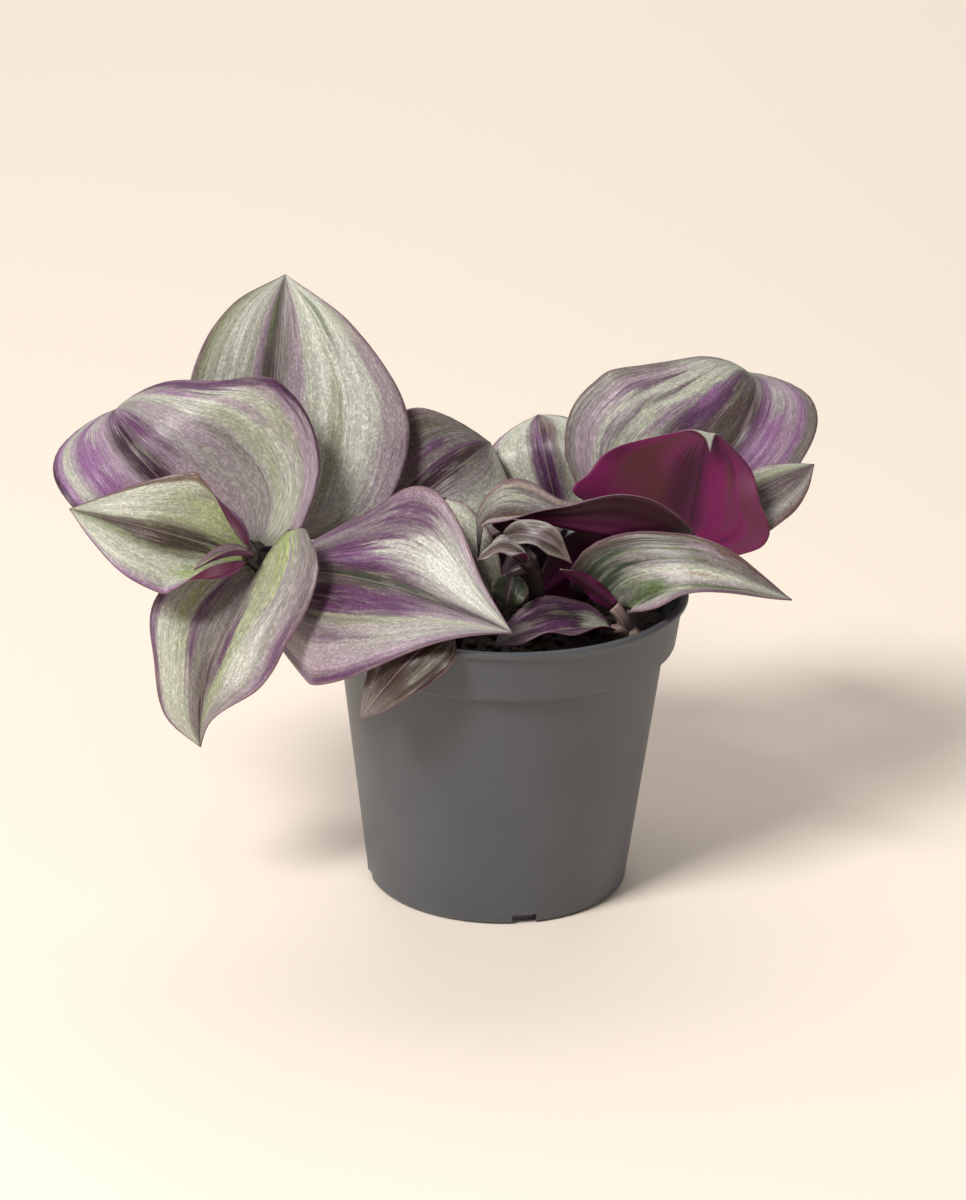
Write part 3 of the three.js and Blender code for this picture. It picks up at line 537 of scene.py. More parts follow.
leaves = {
    "left-tall": dict(
        foot=(-58, 7, 80), tip=(-55, 38, 141), face=(0.1, -1, 0.3), left=(15, 22, 22, 12.5),
        right=(25, 34, 32, 17), bow=3, sweep=1, lift=((30, 26, 18), (5, 0, 10)), curl=(0, -15),
        leftMarks="rib 0, ash .06, ash .14, lilac .22, silver .34, bright .6, silver .82, sage .93, "
                  "margin 1",
        rightMarks="rib 0, ash .08, ash .14, lilac .2, silver .27, bright .4, bright .7, silver .85, "
                   "lilac .95, margin 1",
        spots="rib -.11 .6 .08 .3 .9, rib .04 .62 .07 .27 .9, lilac .14 .5 .07 .25 .7, "
              "green -.12 .88 .1 .1 .55, green .55 .84 .09 .12 .7, sage .46 .42 .07 .25 .8, "
              "lilac .84 .66 .07 .2 .8, lilac .86 .3 .14 .25 .8, violet -.24 .7 .05 .15 .4, "
              "sage -.8 .75 .1 .2 .3"),
    "left-broad": dict(
        foot=(-63, 1, 82), tip=(-95, 24, 110), face=(-0.46, -0.7, 0.53), left=(8, 16, 20, 16),
        right=(30, 37, 29, 17), bow=17, crest=0.62, lift=((15, 25, 30), (10, 0, 0)), curl=(-10, -30),
        lobe=(0, 12),
        leftMarks="plum 0, rib .1, lilac .2, violet .4, violet .6, silver .8, violet .93, plum 1",
        rightMarks="plum 0, rib .06, lilac .14, mist .3, mist .5, silver .62, silver .82, lilac .92, "
                   "plum 1",
        spots="plum -.03 .62 .13 .4 .95, purple .2 .7 .12 .24 1, violet .06 .9 .2 .08 .6, "
              "plum .97 .75 .12 .3 .8, violet .4 .52 .05 .22 .7, purple .55 .6 .04 .2 .5, "
              "sage .62 .36 .06 .26 .7, lilac .45 .7 .12 .2 .7, mist .45 .55 .2 .3 .5, "
              "ash .5 .34 .04 .25 .6, sage .82 .18 .06 .14 .8, lilac .74 .5 .04 .25 .8, "
              "purple .92 .76 .17 .24 1, violet .72 .78 .08 .14 .8, purple .97 .4 .05 .4 .8, "
              "lilac .9 .12 .09 .15 .9, violet -.55 .68 .15 .16 .6, silver -.4 .9 .14 .1 .7"),
    "left-small": dict(
        foot=(-61.5, -15.2, 87), tip=(-102, -20, 99.5), face=(0, -0.9, 0.5), left=(11, 15, 13.5, 6),
        right=(12, 16.5, 11.5, 4.5), bow=4, lift=((30, 15, 5), (20, 10, 5)), curl=(0, 10), lobe=(3, 4),
        fold=(140, 150),
        leftMarks="olive 0, olive .08, sage .24, silver .42, silver .8, lilac .93, margin 1",
        rightMarks="olive 0, rib .07, sage .2, silver .4, silver .85, brown .96, margin 1",
        spots="umber -.1 .42 .27 .3 1, rib -.02 .7 .1 .24 .9, lime .45 .2 .3 .18 .7, "
              "sage .5 .42 .3 .14 .6, bright .36 .75 .26 .2 .9, brown .96 .4 .09 .4 .8, "
              "lime -.6 .2 .22 .2 .8, violet -.98 .5 .05 .6 .7, lime 0 .05 .5 .12 .9",
        under="margin 0, violet .45, magenta .6, lilac 1"),
    "left-young": dict(
        foot=(-60, -18.5, 88.3), tip=(-72.2, -27, 87.7), face=(0, -0.3, 1), left=(2.2, 2.6, 2, 1), bow=2,
        lift=((30, 45, 40), (20, 40, 40)), curl=(30, 40), wave=0,
        leftMarks="lime 0, lilac .5, margin 1", under="magenta 0, violet .6, lilac 1"),
    "left-drooping": dict(
        foot=(-58, -13, 81.3), tip=(-71, -28, 43), face=(-0.1, -1, 0.2), left=(19.5, 17.5, 14, 3),
        right=(14, 18, 13, 8.5), bow=6, crest=0.4, sweep=-4, lift=((34, 20, 10), (-25, -5, 5)),
        lobe=(25, 6), lobePower=0.6, lobeFade=1.3, lobeRound=0.3,
        # The left half in ash and mist is the silver greyed as painted shade on that side; the bright spot
        # on it is a painted highlight
        leftMarks="rib 0, ash .1, sage .28, mist .5, mist .75, lilac .93, margin 1",
        rightMarks="rib 0, ash .1, ash .26, silver .42, silver .85, lilac .95, margin 1",
        spots="ash .08 .32 .2 .4 .95, purple .34 .36 .08 .34 1, purple -.17 .4 .05 .3 .9, "
              "plum .02 .72 .1 .22 .8, lime -.4 .06 .3 .1 .9, sage -.3 .2 .16 .18 .8, "
              "bright -.5 .5 .22 .22 .7, purple -.9 .36 .09 .34 .8, ash -.85 .08 .2 .2 .8, "
              "lime .55 .25 .12 .1 .8, sage .5 .42 .14 .18 .7, purple .95 .5 .06 .6 .8",
        footFade="sage .12"),
    "front-large": dict(
        foot=(-57, 0, 77), tip=(2.5, -46, 81), face=(0.1, -0.75, 0.7), left=(5, 14.5, 25, 8.5),
        right=(17, 27, 24, 9), bow=9, lift=((10, 5, 0), (-25, 5, 20)), curl=(30, -40), lobe=(0, 5),
        leftMarks="plum 0, rib .08, ash .2, mist .42, silver .6, mist .8, lilac .92, margin 1",
        rightMarks="plum 0, ash .1, lilac .25, silver .4, mist .7, lilac .85, purple .95, margin 1",
        # The big purple and plum patches toward the foot are the leaf's own purple, deepened as painted
        # shade from the leaves over it
        spots="purple -.22 .32 .6 .42 1, purple .2 .36 .36 .46 1, purple -.24 .3 .4 .28 1, "
              "purple .22 .3 .2 .3 1, plum 0 .28 .36 .22 .7, rib 0 .42 .13 .32 .9, "
              "forest -.02 .52 .06 .3 .8, violet -.3 .42 .1 .14 .6, bright -.38 .78 .26 .26 .9, "
              "purple -.74 .56 .18 .14 .9, purple -.92 .3 .1 .22 .8, purple .14 .62 .04 .2 .7, "
              "purple .58 .38 .08 .2 .7, sage .42 .58 .08 .24 .6, lilac .74 .36 .14 .22 .8, "
              "purple .94 .34 .07 .32 .9, lilac .5 .68 .06 .2 .5"),
    # over-rim: the upper face in wine, umber and rib brown is painted shade for the shadow it hangs in; its
    # tip fades to ash
    "over-rim": dict(
        foot=(-12, -38.5, 78.8), tip=(-32.5, -44, 58), face=(-0.3, -1, 0.5), left=(7, 7.5, 6, 3),
        right=(9, 11, 9, 4), bow=6, crest=0.4, lift=((0, 0, 0), (0, -15, -20)),
        leftMarks="wine 0, umber .3, rib .55, umber .75, wine 1", tipFade="ash .6",
        under="wine 0, brown .6, magenta 1"),
    "back-left": dict(
        foot=(-29, 28, 81), tip=(-4, 40, 98), face=(0.45, -0.65, 0.6), left=(14, 18, 19, 13),
        right=(10, 15, 20, 18), bow=9, crest=0.6, lift=((15, 5, 0), (15, 5, 0)), curl=(-20, -20),
        leftMarks="rib 0, rib .12, purple .2, ash .34, ash .6, brown .8, margin 1",
        rightMarks="rib 0, ash .12, mist .3, silver .5, mist .85, margin 1",
        spots="plum -.1 .5 .14 .35 .8, purple -.42 .52 .07 .24 .9, olive -.72 .5 .2 .4 .7, "
              "ash -.9 .8 .2 .25 .7, purple .12 .5 .06 .2 .6"),
    "core-left": dict(
        usual, foot=(-23, 14, 77), tip=(-30, -9, 88), face=(0.3, -0.3, 0.9), left=(7, 9, 8, 4), bow=4),
    "rear-left": dict(
        usual, foot=(-24, 33, 80), tip=(-36, 76, 82), face=(0, 0, 1), left=(14, 19, 16, 8), bow=9),
    "back-middle": dict(
        foot=(14, 40, 78), tip=(8, 54, 101), face=(-0.15, -0.7, 0.65), left=(10, 13, 14, 11),
        right=(9, 12, 12, 9), bow=9, crest=0.6, lift=((15, 5, 0), (15, 5, 0)), curl=(-15, -15),
        leftMarks="plum 0, purple .16, silver .32, silver .75, lilac .9, brown 1",
        rightMarks="plum 0, purple .16, ash .3, silver .5, silver .8, brown .95, margin 1",
        spots="purple -.1 .55 .16 .34 .9, violet -.08 .78 .1 .12 .7, brown .2 .86 .3 .1 .6"),
    "core-middle": dict(
        shaded, foot=(5, 23, 78), tip=(13, 1, 88), face=(0, 0, 1), left=(8, 10, 8, 4), bow=5),
    "rear-middle": dict(
        usual, foot=(4, 43, 78), tip=(4, 74, 62), face=(0, 0.4, 1), left=(12, 17, 14, 7), bow=9),
    "right-broad": dict(
        foot=(39.5, 22, 83), tip=(59, 48, 115.5), face=(0.46, -0.7, 0.53), left=(33, 37, 29, 17),
        right=(8, 13, 16.5, 14), bow=18, crest=0.62, lift=((10, 3, 5), (20, 25, 30)), curl=(-40, -10),
        lobe=(14, 0),
        leftMarks="rib 0, rib .2, purple .3, ash .4, silver .48, silver .72, lilac .86, ash .94, brown 1",
        rightMarks="rib 0, rib .06, purple .14, violet .3, lilac .6, violet .74, ash .88, brown 1",
        spots="rib -.12 .6 .16 .4 .9, purple -.36 .54 .1 .28 1, violet -.4 .66 .06 .14 1, "
              "plum .06 .42 .1 .24 .8, violet .45 .52 .2 .3 .8, mist .36 .8 .16 .1 1, "
              "silver -.72 .84 .3 .1 .9, purple -.78 .48 .05 .16 .9, purple -.62 .56 .04 .14 .8, "
              "violet -.5 .42 .04 .18 .6, purple -.68 .28 .04 .16 .7, ash -.96 .5 .07 .6 .8, "
              "lilac -.84 .12 .08 .14 .9, ash .95 .55 .1 .5 .8", tipFade="sage .9"),
    "rear-right": dict(
        usual, foot=(35, 37, 80), tip=(48, 82, 84), face=(0, 0, 1), left=(14, 20, 17, 8), bow=9),
    "right-upright": dict(
        foot=(44.5, -1, 90), tip=(49.1, 5, 119.3), face=(0, 1, 0.15), left=(18, 15.5, 11.5, 2),
        right=(29, 27, 21, 2.6), bow=2, lift=((0, 0, 0), (0, 0, 0)), curl=(-20, -20), lobe=(8, 0),
        nod=(0.79, 150, 12), pleat=0.03, rows=56,
        leftMarks="rib 0, ash .12, silver .3, sage .7, lilac .9, margin 1", tipFade="silver .6",
        under="earth .3, mulberry .45, magenta .6, claret .75",
        underSpots="wine .13 .42 .16 .45 .75, magenta -.3 .36 .22 .32 .9, earth .6 .5 .24 .26 .9, "
                   "mulberry .3 .76 .3 .14 .8, mulberry -.86 .35 .14 .4 .8, earth -.52 .5 .06 .18 .7"),
    "right-narrow": dict(
        foot=(49.5, 12.8, 88.5), tip=(75, 15.8, 102.5), face=(0, -0.7, 0.7), left=(4, 5, 5, 2.5),
        right=(8, 13, 11, 6), bow=2, lift=raised,
        leftMarks="rib 0, ash .2, sage .4, silver .7, lilac .9, margin 1",
        rightMarks="rib 0, rib .3, ash .5, mist .7, ash .8, brown .9, margin 1",
        spots="rib .02 .7 .16 .4 .9, brown .95 .6 .1 .4 .7"),
    # centre-folded: the dark wine underside is its own colour deepened as painted shade of the plant's
    # centre
    "centre-folded": dict(
        foot=(43, -8.4, 90.4), tip=(-6, -12, 87), face=(0, -0.1, 1), left=(11.5, 13.5, 6.5, 5),
        right=(7, 10, 6, 9), bow=10, crest=0.88, lift=((45, 78, -10), (35, 70, 70)), lobe=(5, 0),
        lobePower=0.9,
        leftMarks="brown 0, silver .25, blush .6, lilac .85, margin 1",
        rightMarks="brown 0, ash .25, mist .5, ash .7, blush .85, margin 1",
        spots="brown -.1 .85 .2 .14 .8, silver .6 .86 .3 .1 .8", under="wine .2, wine .6, mulberry 1"),
    # core-front: shaded marks and an all-wine underside, painted shade of the plant's centre
    "core-front": dict(
        shaded, foot=(28, -4, 84), tip=(8, -5, 74), face=(0.2, 0.9, 0.3), left=(8, 10, 8, 4), bow=3,
        under="wine 0, wine 1"),
    "right-low": dict(
        foot=(30.5, -15.4, 75.4), tip=(68.3, -20, 80.8), face=(0, -0.7, 0.8), left=(14.2, 13.6, 10, 4.4),
        right=(4, 2.5, 1.2, 0.8), bow=9.5, crest=0.4, lift=((15, 15, 5), (20, 15, 5)), lobe=(20, 0),
        lobePower=0.8,
        leftMarks="green 0, mist .12, silver .3, ash .5, ash .72, brown .92, margin 1",
        rightMarks="sage 0, silver .3, lilac .8, margin 1",
        # The forest and green spots at the foot are the leaf's dark green, deepened as painted shade under
        # the folded centre leaf
        spots="forest -.6 .03 .5 .12 1, green 0 .14 .34 .1 1, forest .2 .14 .3 .06 .9, "
              "green -.72 .28 .05 .22 .7, forest -.86 .3 .12 .3 .6, green -.55 .4 .03 .2 .6, "
              "bronze -.28 .42 .035 .08 1, brown -.9 .62 .12 .14 .8, lilac -.8 .5 .1 .1 .7, "
              "bright -.25 .5 .12 .2 .3, purple .5 .62 .5 .35 .8"),
    "front-folded": dict(
        foot=(26.5, -16.7, 76.8), tip=(13.4, -24, 88.7), face=(-0.3, 0.9, 0.3), left=(2, 2.4, 1.8, 1),
        right=(1.8, 2.2, 1.8, 1), bow=2,
        leftMarks="silver 0, sage .4, blush .8, margin 1", tipFade="silver .6"),
    "inside-rim": dict(
        foot=(26, -17.5, 71.5), tip=(-1.7, -36, 73.8), face=(0, -0.3, 1), left=(2, 2.5, 2.5, 2),
        right=(7, 10, 9, 4.5), bow=2, lift=raised,
        leftMarks="purple 0, plum .3, purple .6, margin 1",
        rightMarks="plum 0, plum .5, purple .8, margin 1",
        spots="ash .4 .78 .3 .14 .9, silver 0 .1 .6 .14 .7, purple .1 .5 .2 .2 .8"),
    "middle-arched": dict(
        foot=(0, -19, 94.5), tip=(16, -22, 89.5), face=(0, -0.6, 0.8), left=(3, 4, 3.5, 1.7), bow=6,
        lift=raised,
        leftMarks="umber 0, rib .5, ash .8, silver 1", tipFade="blush .75"),
    "middle-curl": dict(
        foot=(5, -29, 93), tip=(-6, -31, 93), face=(0, -0.2, 1), left=(3, 4, 3.5, 1.7), bow=3, lift=raised,
        leftMarks="brown 0, rib .4, mist .7, ash 1", under="wine 0, wine 1"),
    # middle-shaded: wine and dark forest marks, its green darkened as painted shade
    "middle-shaded": dict(
        foot=(2, -20.5, 85), tip=(1, -23, 78), face=(0, -0.8, 0.6), left=(3.2, 4.5, 4, 1.9), bow=2,
        lift=raised,
        leftMarks="wine 0, forest .4, forest .8, green 1"),
    "centre-narrow": dict(
        foot=(-15, -3, 97.1), tip=(-0.8, -12, 75.3), face=(0, -0.8, 0.6), left=(4.5, 6, 5.5, 3),
        right=(4, 5, 4.5, 2.5), bow=3, lift=raised,
        leftMarks="rib 0, silver .3, silver .8, margin 1",
        rightMarks="rib 0, ash .2, silver .5, sage .8, margin 1"),
}

for name, leaf in leaves.items():
    leaves[name] = {**usualLeaf, "right": leaf["left"], "rightMarks": leaf["leftMarks"], **leaf}

# A leaf's seed sets its waves, pleats and streaks apart from the others'
firstSeed, seedStep = 0.4, 1.7

for number, (name, leaf) in enumerate(leaves.items()):
    makeLeaf("leaf-" + name, leaf, seedStep * number + firstSeed)
print("leaves grown:", len(leaves))


# Stems: fleshy tubes with swollen nodes, and a thin clasping sheath up to the foot of each leaf

stems = {
    "stem-left": [(-20, 3, 66), (-33, 4, 75), (-46, 4, 80), (-57, 2, 82.5), (-60.7, -6.2, 85),
                  (-61.3, -11.4, 87.5)],
    "stem-rim": [(-12, -24, 66), (-11, -28, 72), (-10, -33, 77)],
    "stem-back-left": [(-16, 14, 66), (-24, 20, 74), (-32, 25, 79)],
    "stem-back": [(0, 18, 66), (3, 26, 73), (8, 34, 76)],
    "stem-back-right": [(20, 13, 66), (26, 19, 75), (34, 23, 81)],
    "stem-right": [(17, 7, 66), (25, 6, 78), (34, 2, 85.5), (42, -4, 89)],
    "stem-front-right": [(32, -13, 66), (31.4, -13, 68), (29.8, -12.6, 69.2)],
    "stem-middle": [(8, -10, 66), (8, -15, 75), (8, -17, 82), (5.5, -20, 90)],
    "stem-centre": [(-8, -3, 66), (-12, 0, 82), (-15, 0, 95)],
}

stemLeaves = {
    "stem-left": "left-tall left-broad left-small left-young left-drooping front-large",
    "stem-rim": "over-rim",
    "stem-back-left": "back-left core-left rear-left",
    "stem-back": "back-middle core-middle rear-middle",
    "stem-back-right": "right-broad rear-right",
    "stem-right": "right-upright right-narrow centre-folded core-front",
    "stem-front-right": "right-low front-folded inside-rim",
    "stem-middle": "middle-arched middle-curl middle-shaded",
    "stem-centre": "centre-narrow",
}

stem = dict(
    radius=2.0, nodeRadius=2.5, nodeLength=2.2, depth=9, sides=18, step=0.8,
    endShare=0.35, endLength=2.2, endOverhang=0.6,
)

# usual and wide are the radii where a sheath starts and ends; it flares and flattens on its way
sheath = dict(
    usual=(1.9, 1.25), wide=(2.4, 2.2), wideFor="left-drooping", lead=0.35, flare=0.35, flatten=0.72,
    lowest=2 / 5, sides=14, fewestSteps=6,
)


# A centripetal curve through the points, as finely as the step asks
def curveThrough(points, step):
    points = [Vector(p) for p in points]
    points = [2 * points[0] - points[1], *points, 2 * points[-1] - points[-2]]
    path = []
    for a, b, c, d in zip(points, points[1:], points[2:], points[3:]):
        t1 = (b - a).length ** 0.5
        t2 = t1 + (c - b).length ** 0.5
        t3 = t2 + (d - c).length ** 0.5
        count = max(2, round((c - b).length / step))
        for k in range(count):
            t = t1 + (t2 - t1) * k / count
            ab, bc, cd = a.lerp(b, t / t1), b.lerp(c, (t - t1) / (t2 - t1)), c.lerp(d, (t - t2) / (t3 - t2))
            path.append(ab.lerp(bc, t / t2).lerp(bc.lerp(cd, (t - t1) / (t3 - t1)), (t - t1) / (t2 - t1)))
    return path + [points[-2]]


# A closed tube along the path; radii gives (across, flat) at each point, and flatWay the flat direction
def sweep(path, radii, sides, flatWay=None):
    points, faces, sizes = [], [], []
    side = flatWay or Vector((0.3, 1, 0.2))
    travelled = 0
    for k, point in enumerate(path):
        ahead = (path[min(k + 1, len(path) - 1)] - path[max(k - 1, 0)]).normalized()
        side = (side - ahead * side.dot(ahead)).normalized()
        other = ahead.cross(side)
        if k:
            travelled += (point - path[k - 1]).length
        wide, flat = radii[k]
        for s in range(sides):
            turn = tau * s / sides
            points.append(point + side * (wide * cos(turn)) + other * (flat * sin(turn)))
            sizes.append((turn * stem["radius"], travelled, 0))
            if k:
                a, b = (k - 1) * sides + s, (k - 1) * sides + (s + 1) % sides
                faces.append((a, b, b + sides, a + sides))
    faces.append(tuple(reversed(range(sides))))
    faces.append(tuple(range(len(points) - sides, len(points))))
    return points, faces, sizes


def makeSheath(path, leafName):
    rib = Rib(leaves[leafName])
    foot, heading = rib.foot, rib.tangent(0)
    root = min(path[int(len(path) * sheath["lowest"]):], key=lambda p: (p - foot).length)
    reach = (root - foot).length
    bend = foot - heading * (sheath["lead"] * reach)
    count = max(sheath["fewestSteps"], round(reach / stem["step"]))
    first, last = sheath["wide" if leafName == sheath["wideFor"] else "usual"]
    route, radii = [], []
    for k in range(count + 1):
        t = k / count
        thick = first + (last - first) * t
        route.append(root.lerp(bend, t).lerp(bend.lerp(foot, t), t))
        radii.append((thick + sheath["flare"] * t ** 3, thick * (1 - sheath["flatten"] * t ** 2)))
    flatWay = rib.left - heading * rib.left.dot(heading)
    return sweep(route, radii, sheath["sides"], flatWay)


def makeStem(name, material):
    start = Vector(stems[name][0]) - Vector((0, 0, stem["depth"]))
    path = curveThrough([tuple(start), *stems[name]], stem["step"])
    radii = []
    for k, point in enumerate(path):
        toEnd = (point - path[-1]).length
        swell = stem["nodeRadius"] - stem["radius"]
        swell *= exp(-(toEnd / stem["nodeLength"]) ** 2)
        taper = stem["endShare"] + (toEnd + stem["endOverhang"]) / stem["endLength"]
        taper = min(1, taper) if k > len(path) / 2 else 1
        radii.append(((stem["radius"] + swell) * taper,) * 2)
    points, faces, sizes = sweep(path, radii, stem["sides"])
    for leafName in stemLeaves[name].split():
        more, moreFaces, moreSizes = makeSheath(path, leafName)
        joinBody(points, faces, more, moreFaces)
        sizes += moreSizes
    piece = makePiece(name + "-fleshy", name, points, faces, [material])
    paintPoints(piece, "stemMm", sizes)


# Juicy stem skin: green, flushed purple in streaks along its length, with a soft gloss
def makeStemSkin(name, tones):
    material, tree = newMaterial(name)
    where = add(tree, "Attribute", attribute_name="stemMm").outputs["Vector"]
    stretched = add(tree, "VectorMath", {0: where, 1: (0.9, 0.12, 0)}, operation="MULTIPLY")
    flush = addNoise(tree, vector=stretched.outputs[0], scale=1.0, detail=4)
    colour = addRamp(tree, flush, list(zip((0.32, 0.48, 0.62, 0.8), tones)))
    finishMaterial(tree, colour, 0.4, 1.4, (0.25, 0.0002, flush), (0.12, (1.0, 0.6, 0.5)))
    return material


# The usual stem tones are the stems' own green and purple, darkened as painted shade of the plant's inside
shadeDarkenedStemSkin = makeStemSkin("fleshy stem skin", ("#2E3023", "#382B2C", "#382031", "#533D4C"))
paleSkin = makeStemSkin("fleshy stem skin, pale at the node", ("#A39384", "#8F7C74", "#75585F", "#B5A69B"))
for name in stems:
    makeStem(name, paleSkin if name == "stem-front-right" else shadeDarkenedStemSkin)
print("stems grown:", len(stems))


# Pot: injection-moulded polypropylene with a flared band and a thin lip

pot = dict(
    rimRadius=45, height=75.3, baseRadius=32, shoulderRadius=39.5, bandBottom=62, bandRadius=42.2,
    lipOut=1.4, lipRise=1.2, lipHeight=2.5, lipEdge=0.4, heelEdge=0.8, bandEdge=0.7, bandFloor=1.5,
    wall=1.3, floorThickness=1.5, sides=144, fillet=0.35, filletSteps=3, sharpAngle=38,
    drainHoles=6, drainRadius=3.5, drainCircle=20, drainSides=40, cutDepth=3,
    heelSlots=4, heelSlotWidth=6, heelSlotHeight=2.4, heelSlotReach=2.5, heelSlotTurn=0.22,
)


# Each corner of the profile becomes a small round
def rounded(profile, radius, steps):
    corners = [Vector(p) for p in profile]
    result = [corners[0]]
    for before, corner, after in zip(corners, corners[1:], corners[2:]):
        cut = min(radius, 0.45 * (corner - before).length, 0.45 * (after - corner).length)
        start = corner + (before - corner).normalized() * cut
        end = corner + (after - corner).normalized() * cut
        for k in range(steps + 1):
            t = k / steps
            result.append(start.lerp(corner, t).lerp(corner.lerp(end, t), t))
    return result + [corners[-1]]


# Adds a ring of points, or one point on the axis, and returns their places in the list
def addRing(points, radius, sides, heightAt):
    count = sides if radius > 1e-6 else 1
    ring = range(len(points), len(points) + count)
    for k in range(count):
        turn = tau * k / sides
        x, y = radius * cos(turn), radius * sin(turn)
        points.append((x, y, heightAt(x, y)))
    return ring


def lathe(profile, sides):
    points, faces = [], []
    rings = [addRing(points, radius, sides, lambda x, y: height) for radius, height in profile]
    for low, high in zip(rings, rings[1:]):
        faces += bridge(low, high, sides)
    return points, faces


def cutAway(piece, points, faces):
    cutter = newBody("cutter", points, faces)
    modifier = piece.modifiers.new("cut", "BOOLEAN")
    modifier.object, modifier.solver = cutter, "EXACT"
    result = bpy.data.meshes.new_from_object(piece.evaluated_get(bpy.context.evaluated_depsgraph_get()))
    piece.modifiers.clear()
    piece.data = result
    bpy.data.objects.remove(cutter)


def makePot():
    rim, band, shoulder, base = pot["rimRadius"], pot["bandRadius"], pot["shoulderRadius"], pot["baseRadius"]
    low, top, wall, floor = pot["bandBottom"], pot["height"], pot["wall"], pot["floorThickness"]
    heel, edge, lipEdge, inLow = pot["heelEdge"], pot["bandEdge"], pot["lipEdge"], low + pot["bandFloor"]
    lipBottom, lipFoot = top - pot["lipHeight"], rim - pot["lipOut"]
    profile = [
        (0, 0), (base - heel, 0), (base, heel), (shoulder, low - heel), (shoulder + heel, low),
        (band - edge, low), (band, low + edge), (lipFoot, lipBottom), (rim, lipBottom + pot["lipRise"]),
        (rim, top - lipEdge), (rim - lipEdge, top), (rim - wall - lipEdge, top), (lipFoot - wall, lipBottom),
        (band - wall, inLow + edge), (band - wall - edge, inLow), (shoulder - wall, low + edge),
        (base - wall, floor + heel), (base - wall - heel, floor), (0, floor),
    ]
    points, faces = lathe(rounded(profile, pot["fillet"], pot["filletSteps"]), pot["sides"])
    piece = makePiece("pot-moulded", "pot", points, faces, [makePolypropylene()])
    cutPoints, cutFaces = [], []
    deep, hole = pot["cutDepth"], pot["drainRadius"]
    for k in range(pot["drainHoles"]):
        turn = tau * k / pot["drainHoles"]
        x, y = pot["drainCircle"] * cos(turn), pot["drainCircle"] * sin(turn)
        more, moreFaces = lathe([(0, -deep), (hole, -deep), (hole, deep), (0, deep)], pot["drainSides"])
        joinBody(cutPoints, cutFaces, [(p[0] + x, p[1] + y, p[2]) for p in more], moreFaces)
    half, tall = pot["heelSlotWidth"] / 2, pot["heelSlotHeight"]
    near, far = -base + pot["heelSlotReach"], -base - pot["heelSlotReach"]
    corners = [(x, y, z) for z in (-tall, tall) for y in (far, near) for x in (-half, half)]
    sides = [(0, 2, 3, 1), (4, 5, 7, 6), (0, 1, 5, 4), (2, 6, 7, 3), (0, 4, 6, 2), (1, 3, 7, 5)]
    for k in range(pot["heelSlots"]):
        turn = Matrix.Rotation(tau * k / pot["heelSlots"] + pot["heelSlotTurn"], 3, "Z")
        joinBody(cutPoints, cutFaces, [tuple(turn @ Vector(c)) for c in corners], sides)
    cutAway(piece, cutPoints, cutFaces)
    piece.data.shade_smooth()
    piece.data.set_sharp_from_angle(angle=radians(pot["sharpAngle"]))


# Grey recycled polypropylene, moulded against a finely etched die: matt with a faint sheen
def makePolypropylene():
    material, tree = newMaterial("moulded grey polypropylene")
    where = add(tree, "TexCoord").outputs["Object"]
    etched = addNoise(tree, vector=where, scale=2600, detail=2)     # 0.4 mm grain
    flow = addNoise(tree, vector=where, scale=38, detail=4)
    colour = addRamp(tree, flow, [(0.3, "#4D5056"), (0.7, "#56595F")])
    dusty = add(tree, "MapRange", {"Value": flow, "To Min": 0.4, "To Max": 0.48})
    finishMaterial(tree, colour, dusty.outputs[0], 1.49, (0.12, 0.0001, etched))
    return material


makePot()
print("pot moulded")


# Soil: a lumpy bed of peat with crumbs, grit and fibres pressed into it

soil = dict(
    top=66, roughness=0.9, radius=40.3, rings=70, ringPower=0.8, sectors=150, seed=7,
    sideProfile=((0, 1.85), (29.3, 1.85), (37.6, 63.2), (39.8, 64.8)),      # radius and height
    crumbs=420, crumbSize=(0.5, 2.0), crumbShrink=(0.5, 1), grit=26, gritSize=(0.5, 1.3),
    lumpDepth=(0.6, 1), lumpHeight=(0.45, 0.8), lumpLift=0.2, lumpTilt=0.5, lumpRoughness=0.35,
    lumpSpread=38.6, lumpRings=5, lumpSides=8, fullTurn=6.28,
    fibres=60, fibreLength=(2, 7), fibreBend=0.25, fibreSpread=34.41, fibreRadius=0.14, fibrePoints=7,
    fibreSides=5, fibreLift=0.2,
)


# Crossed waves 9 to 23 mm long, and finer noise
def soilHeight(x, y):
    lump = sin(x * 0.31 + 1.3) * cos(y * 0.27) + 0.6 * sin(x * 0.53 - y * 0.47)
    fine = noise.fractal(Vector((x * 0.35, y * 0.35, 3)), 1, 2, 5)
    return soil["top"] + soil["roughness"] * lump * 0.8 + 0.55 * fine - 0.3


# A small lump with an uneven surface, from a stretched round of points
def addLump(points, faces, centre, sizes, rng):
    turn = Matrix.Rotation(rng.uniform(0, soil["fullTurn"]), 3, "Z")
    turn @= Matrix.Rotation(rng.uniform(-soil["lumpTilt"], soil["lumpTilt"]), 3, "X")
    spot = Vector((rng.uniform(0, 50), 0, 0))
    last, sides = soil["lumpRings"], soil["lumpSides"]
    rings = []
    for i in range(last + 1):
        polar = pi * i / last
        count = sides if 0 < i < last else 1
        rings.append(range(len(points), len(points) + count))
        for j in range(count):
            around = tau * j / sides
            wide = sin(polar)
            way = Vector((wide * cos(around), wide * sin(around), cos(polar)))
            bumpy = 1 + soil["lumpRoughness"] * noise.noise(way * 1.6 + spot)
            points.append(centre + turn @ Vector(a * b for a, b in zip(way, sizes)) * bumpy)
    for upper, lower in zip(rings, rings[1:]):
        faces += bridge(upper, lower, sides, (0, 3, 2, 1))


# An even scatter over a disc
def scatter(rng, spread):
    turn, radius = rng.uniform(0, tau), spread * sqrt(rng.random())
    return radius * cos(turn), radius * sin(turn)


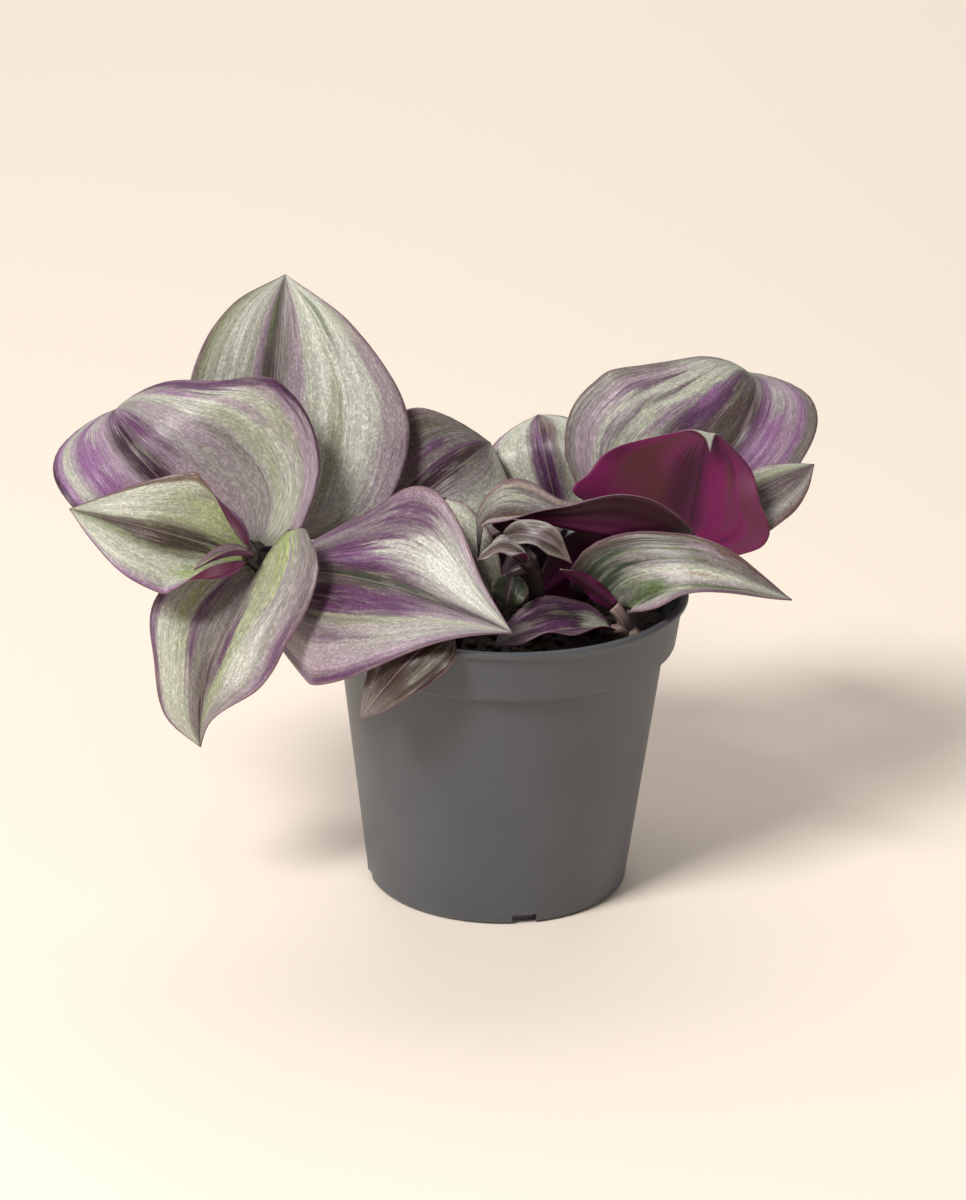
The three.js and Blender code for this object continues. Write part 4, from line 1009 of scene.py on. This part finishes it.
def makeSoil():
    rng = random.Random(soil["seed"])
    points, faces, kinds = [], [], []
    rings = [addRing(points, r, soil["sectors"], lambda x, y: z) for r, z in soil["sideProfile"]]
    for i in range(soil["rings"], -1, -1):
        radius = soil["radius"] * (i / soil["rings"]) ** soil["ringPower"]
        rings.append(addRing(points, radius, soil["sectors"], soilHeight))
    for lower, upper in zip(rings, rings[1:]):
        faces += bridge(lower, upper, soil["sectors"])
    kinds += [0] * len(faces)
    for k in range(soil["crumbs"] + soil["grit"]):
        x, y = scatter(rng, soil["lumpSpread"])
        isGrit = k >= soil["crumbs"]
        wide = rng.uniform(*soil["gritSize" if isGrit else "crumbSize"])
        if not isGrit:
            wide *= rng.uniform(*soil["crumbShrink"])
        sizes = (wide, wide * rng.uniform(*soil["lumpDepth"]), wide * rng.uniform(*soil["lumpHeight"]))
        centre = Vector((x, y, soilHeight(x, y) + sizes[2] * soil["lumpLift"]))
        addLump(points, faces, centre, sizes, rng)
        kinds += [2 if isGrit else 1] * (len(faces) - len(kinds))
    count = soil["fibrePoints"]
    for k in range(soil["fibres"]):
        centreX, centreY = scatter(rng, soil["fibreSpread"])
        heading, length = rng.uniform(0, soil["fullTurn"]), rng.uniform(*soil["fibreLength"])
        path = []
        for step in range(count):
            bendAway = heading + soil["fibreBend"] * step * rng.uniform(-1, 1)
            reach = length * (step / (count - 1) - 0.5)
            x, y = centreX + reach * cos(bendAway), centreY + reach * sin(bendAway)
            path.append(Vector((x, y, soilHeight(x, y) + soil["fibreLift"])))
        more, moreFaces, _ = sweep(path, [(soil["fibreRadius"],) * 2] * count, soil["fibreSides"])
        joinBody(points, faces, more, moreFaces)
        kinds += [1] * (len(faces) - len(kinds))
    makePiece("soil-crumbly", "soil", points, faces, makeSoilMaterials(), kinds)


# Damp peat is near black brown and quite matt; crumbs are bark brown, grit is pale
def makeSoilMaterials():
    made = []
    for name, dark, pale, roughness in (
        ("damp crumbled peat", "#1C1411", "#3A2C24", 0.9),
        ("bark and peat crumbs", "#241913", "#4A3728", 0.85),
        ("pale grit", "#8A7F70", "#C9BFAE", 0.6),
    ):
        material, tree = newMaterial(name)
        where = add(tree, "TexCoord").outputs["Object"]
        grains = addNoise(tree, vector=where, scale=700, detail=6, roughness=0.7)
        colour = addRamp(tree, grains, [(0.35, dark), (0.7, pale)])
        finishMaterial(tree, colour, roughness, 1.45, (0.7, 0.0006, grains))
        made.append(material)
    return made


makeSoil()
print("soil filled in")
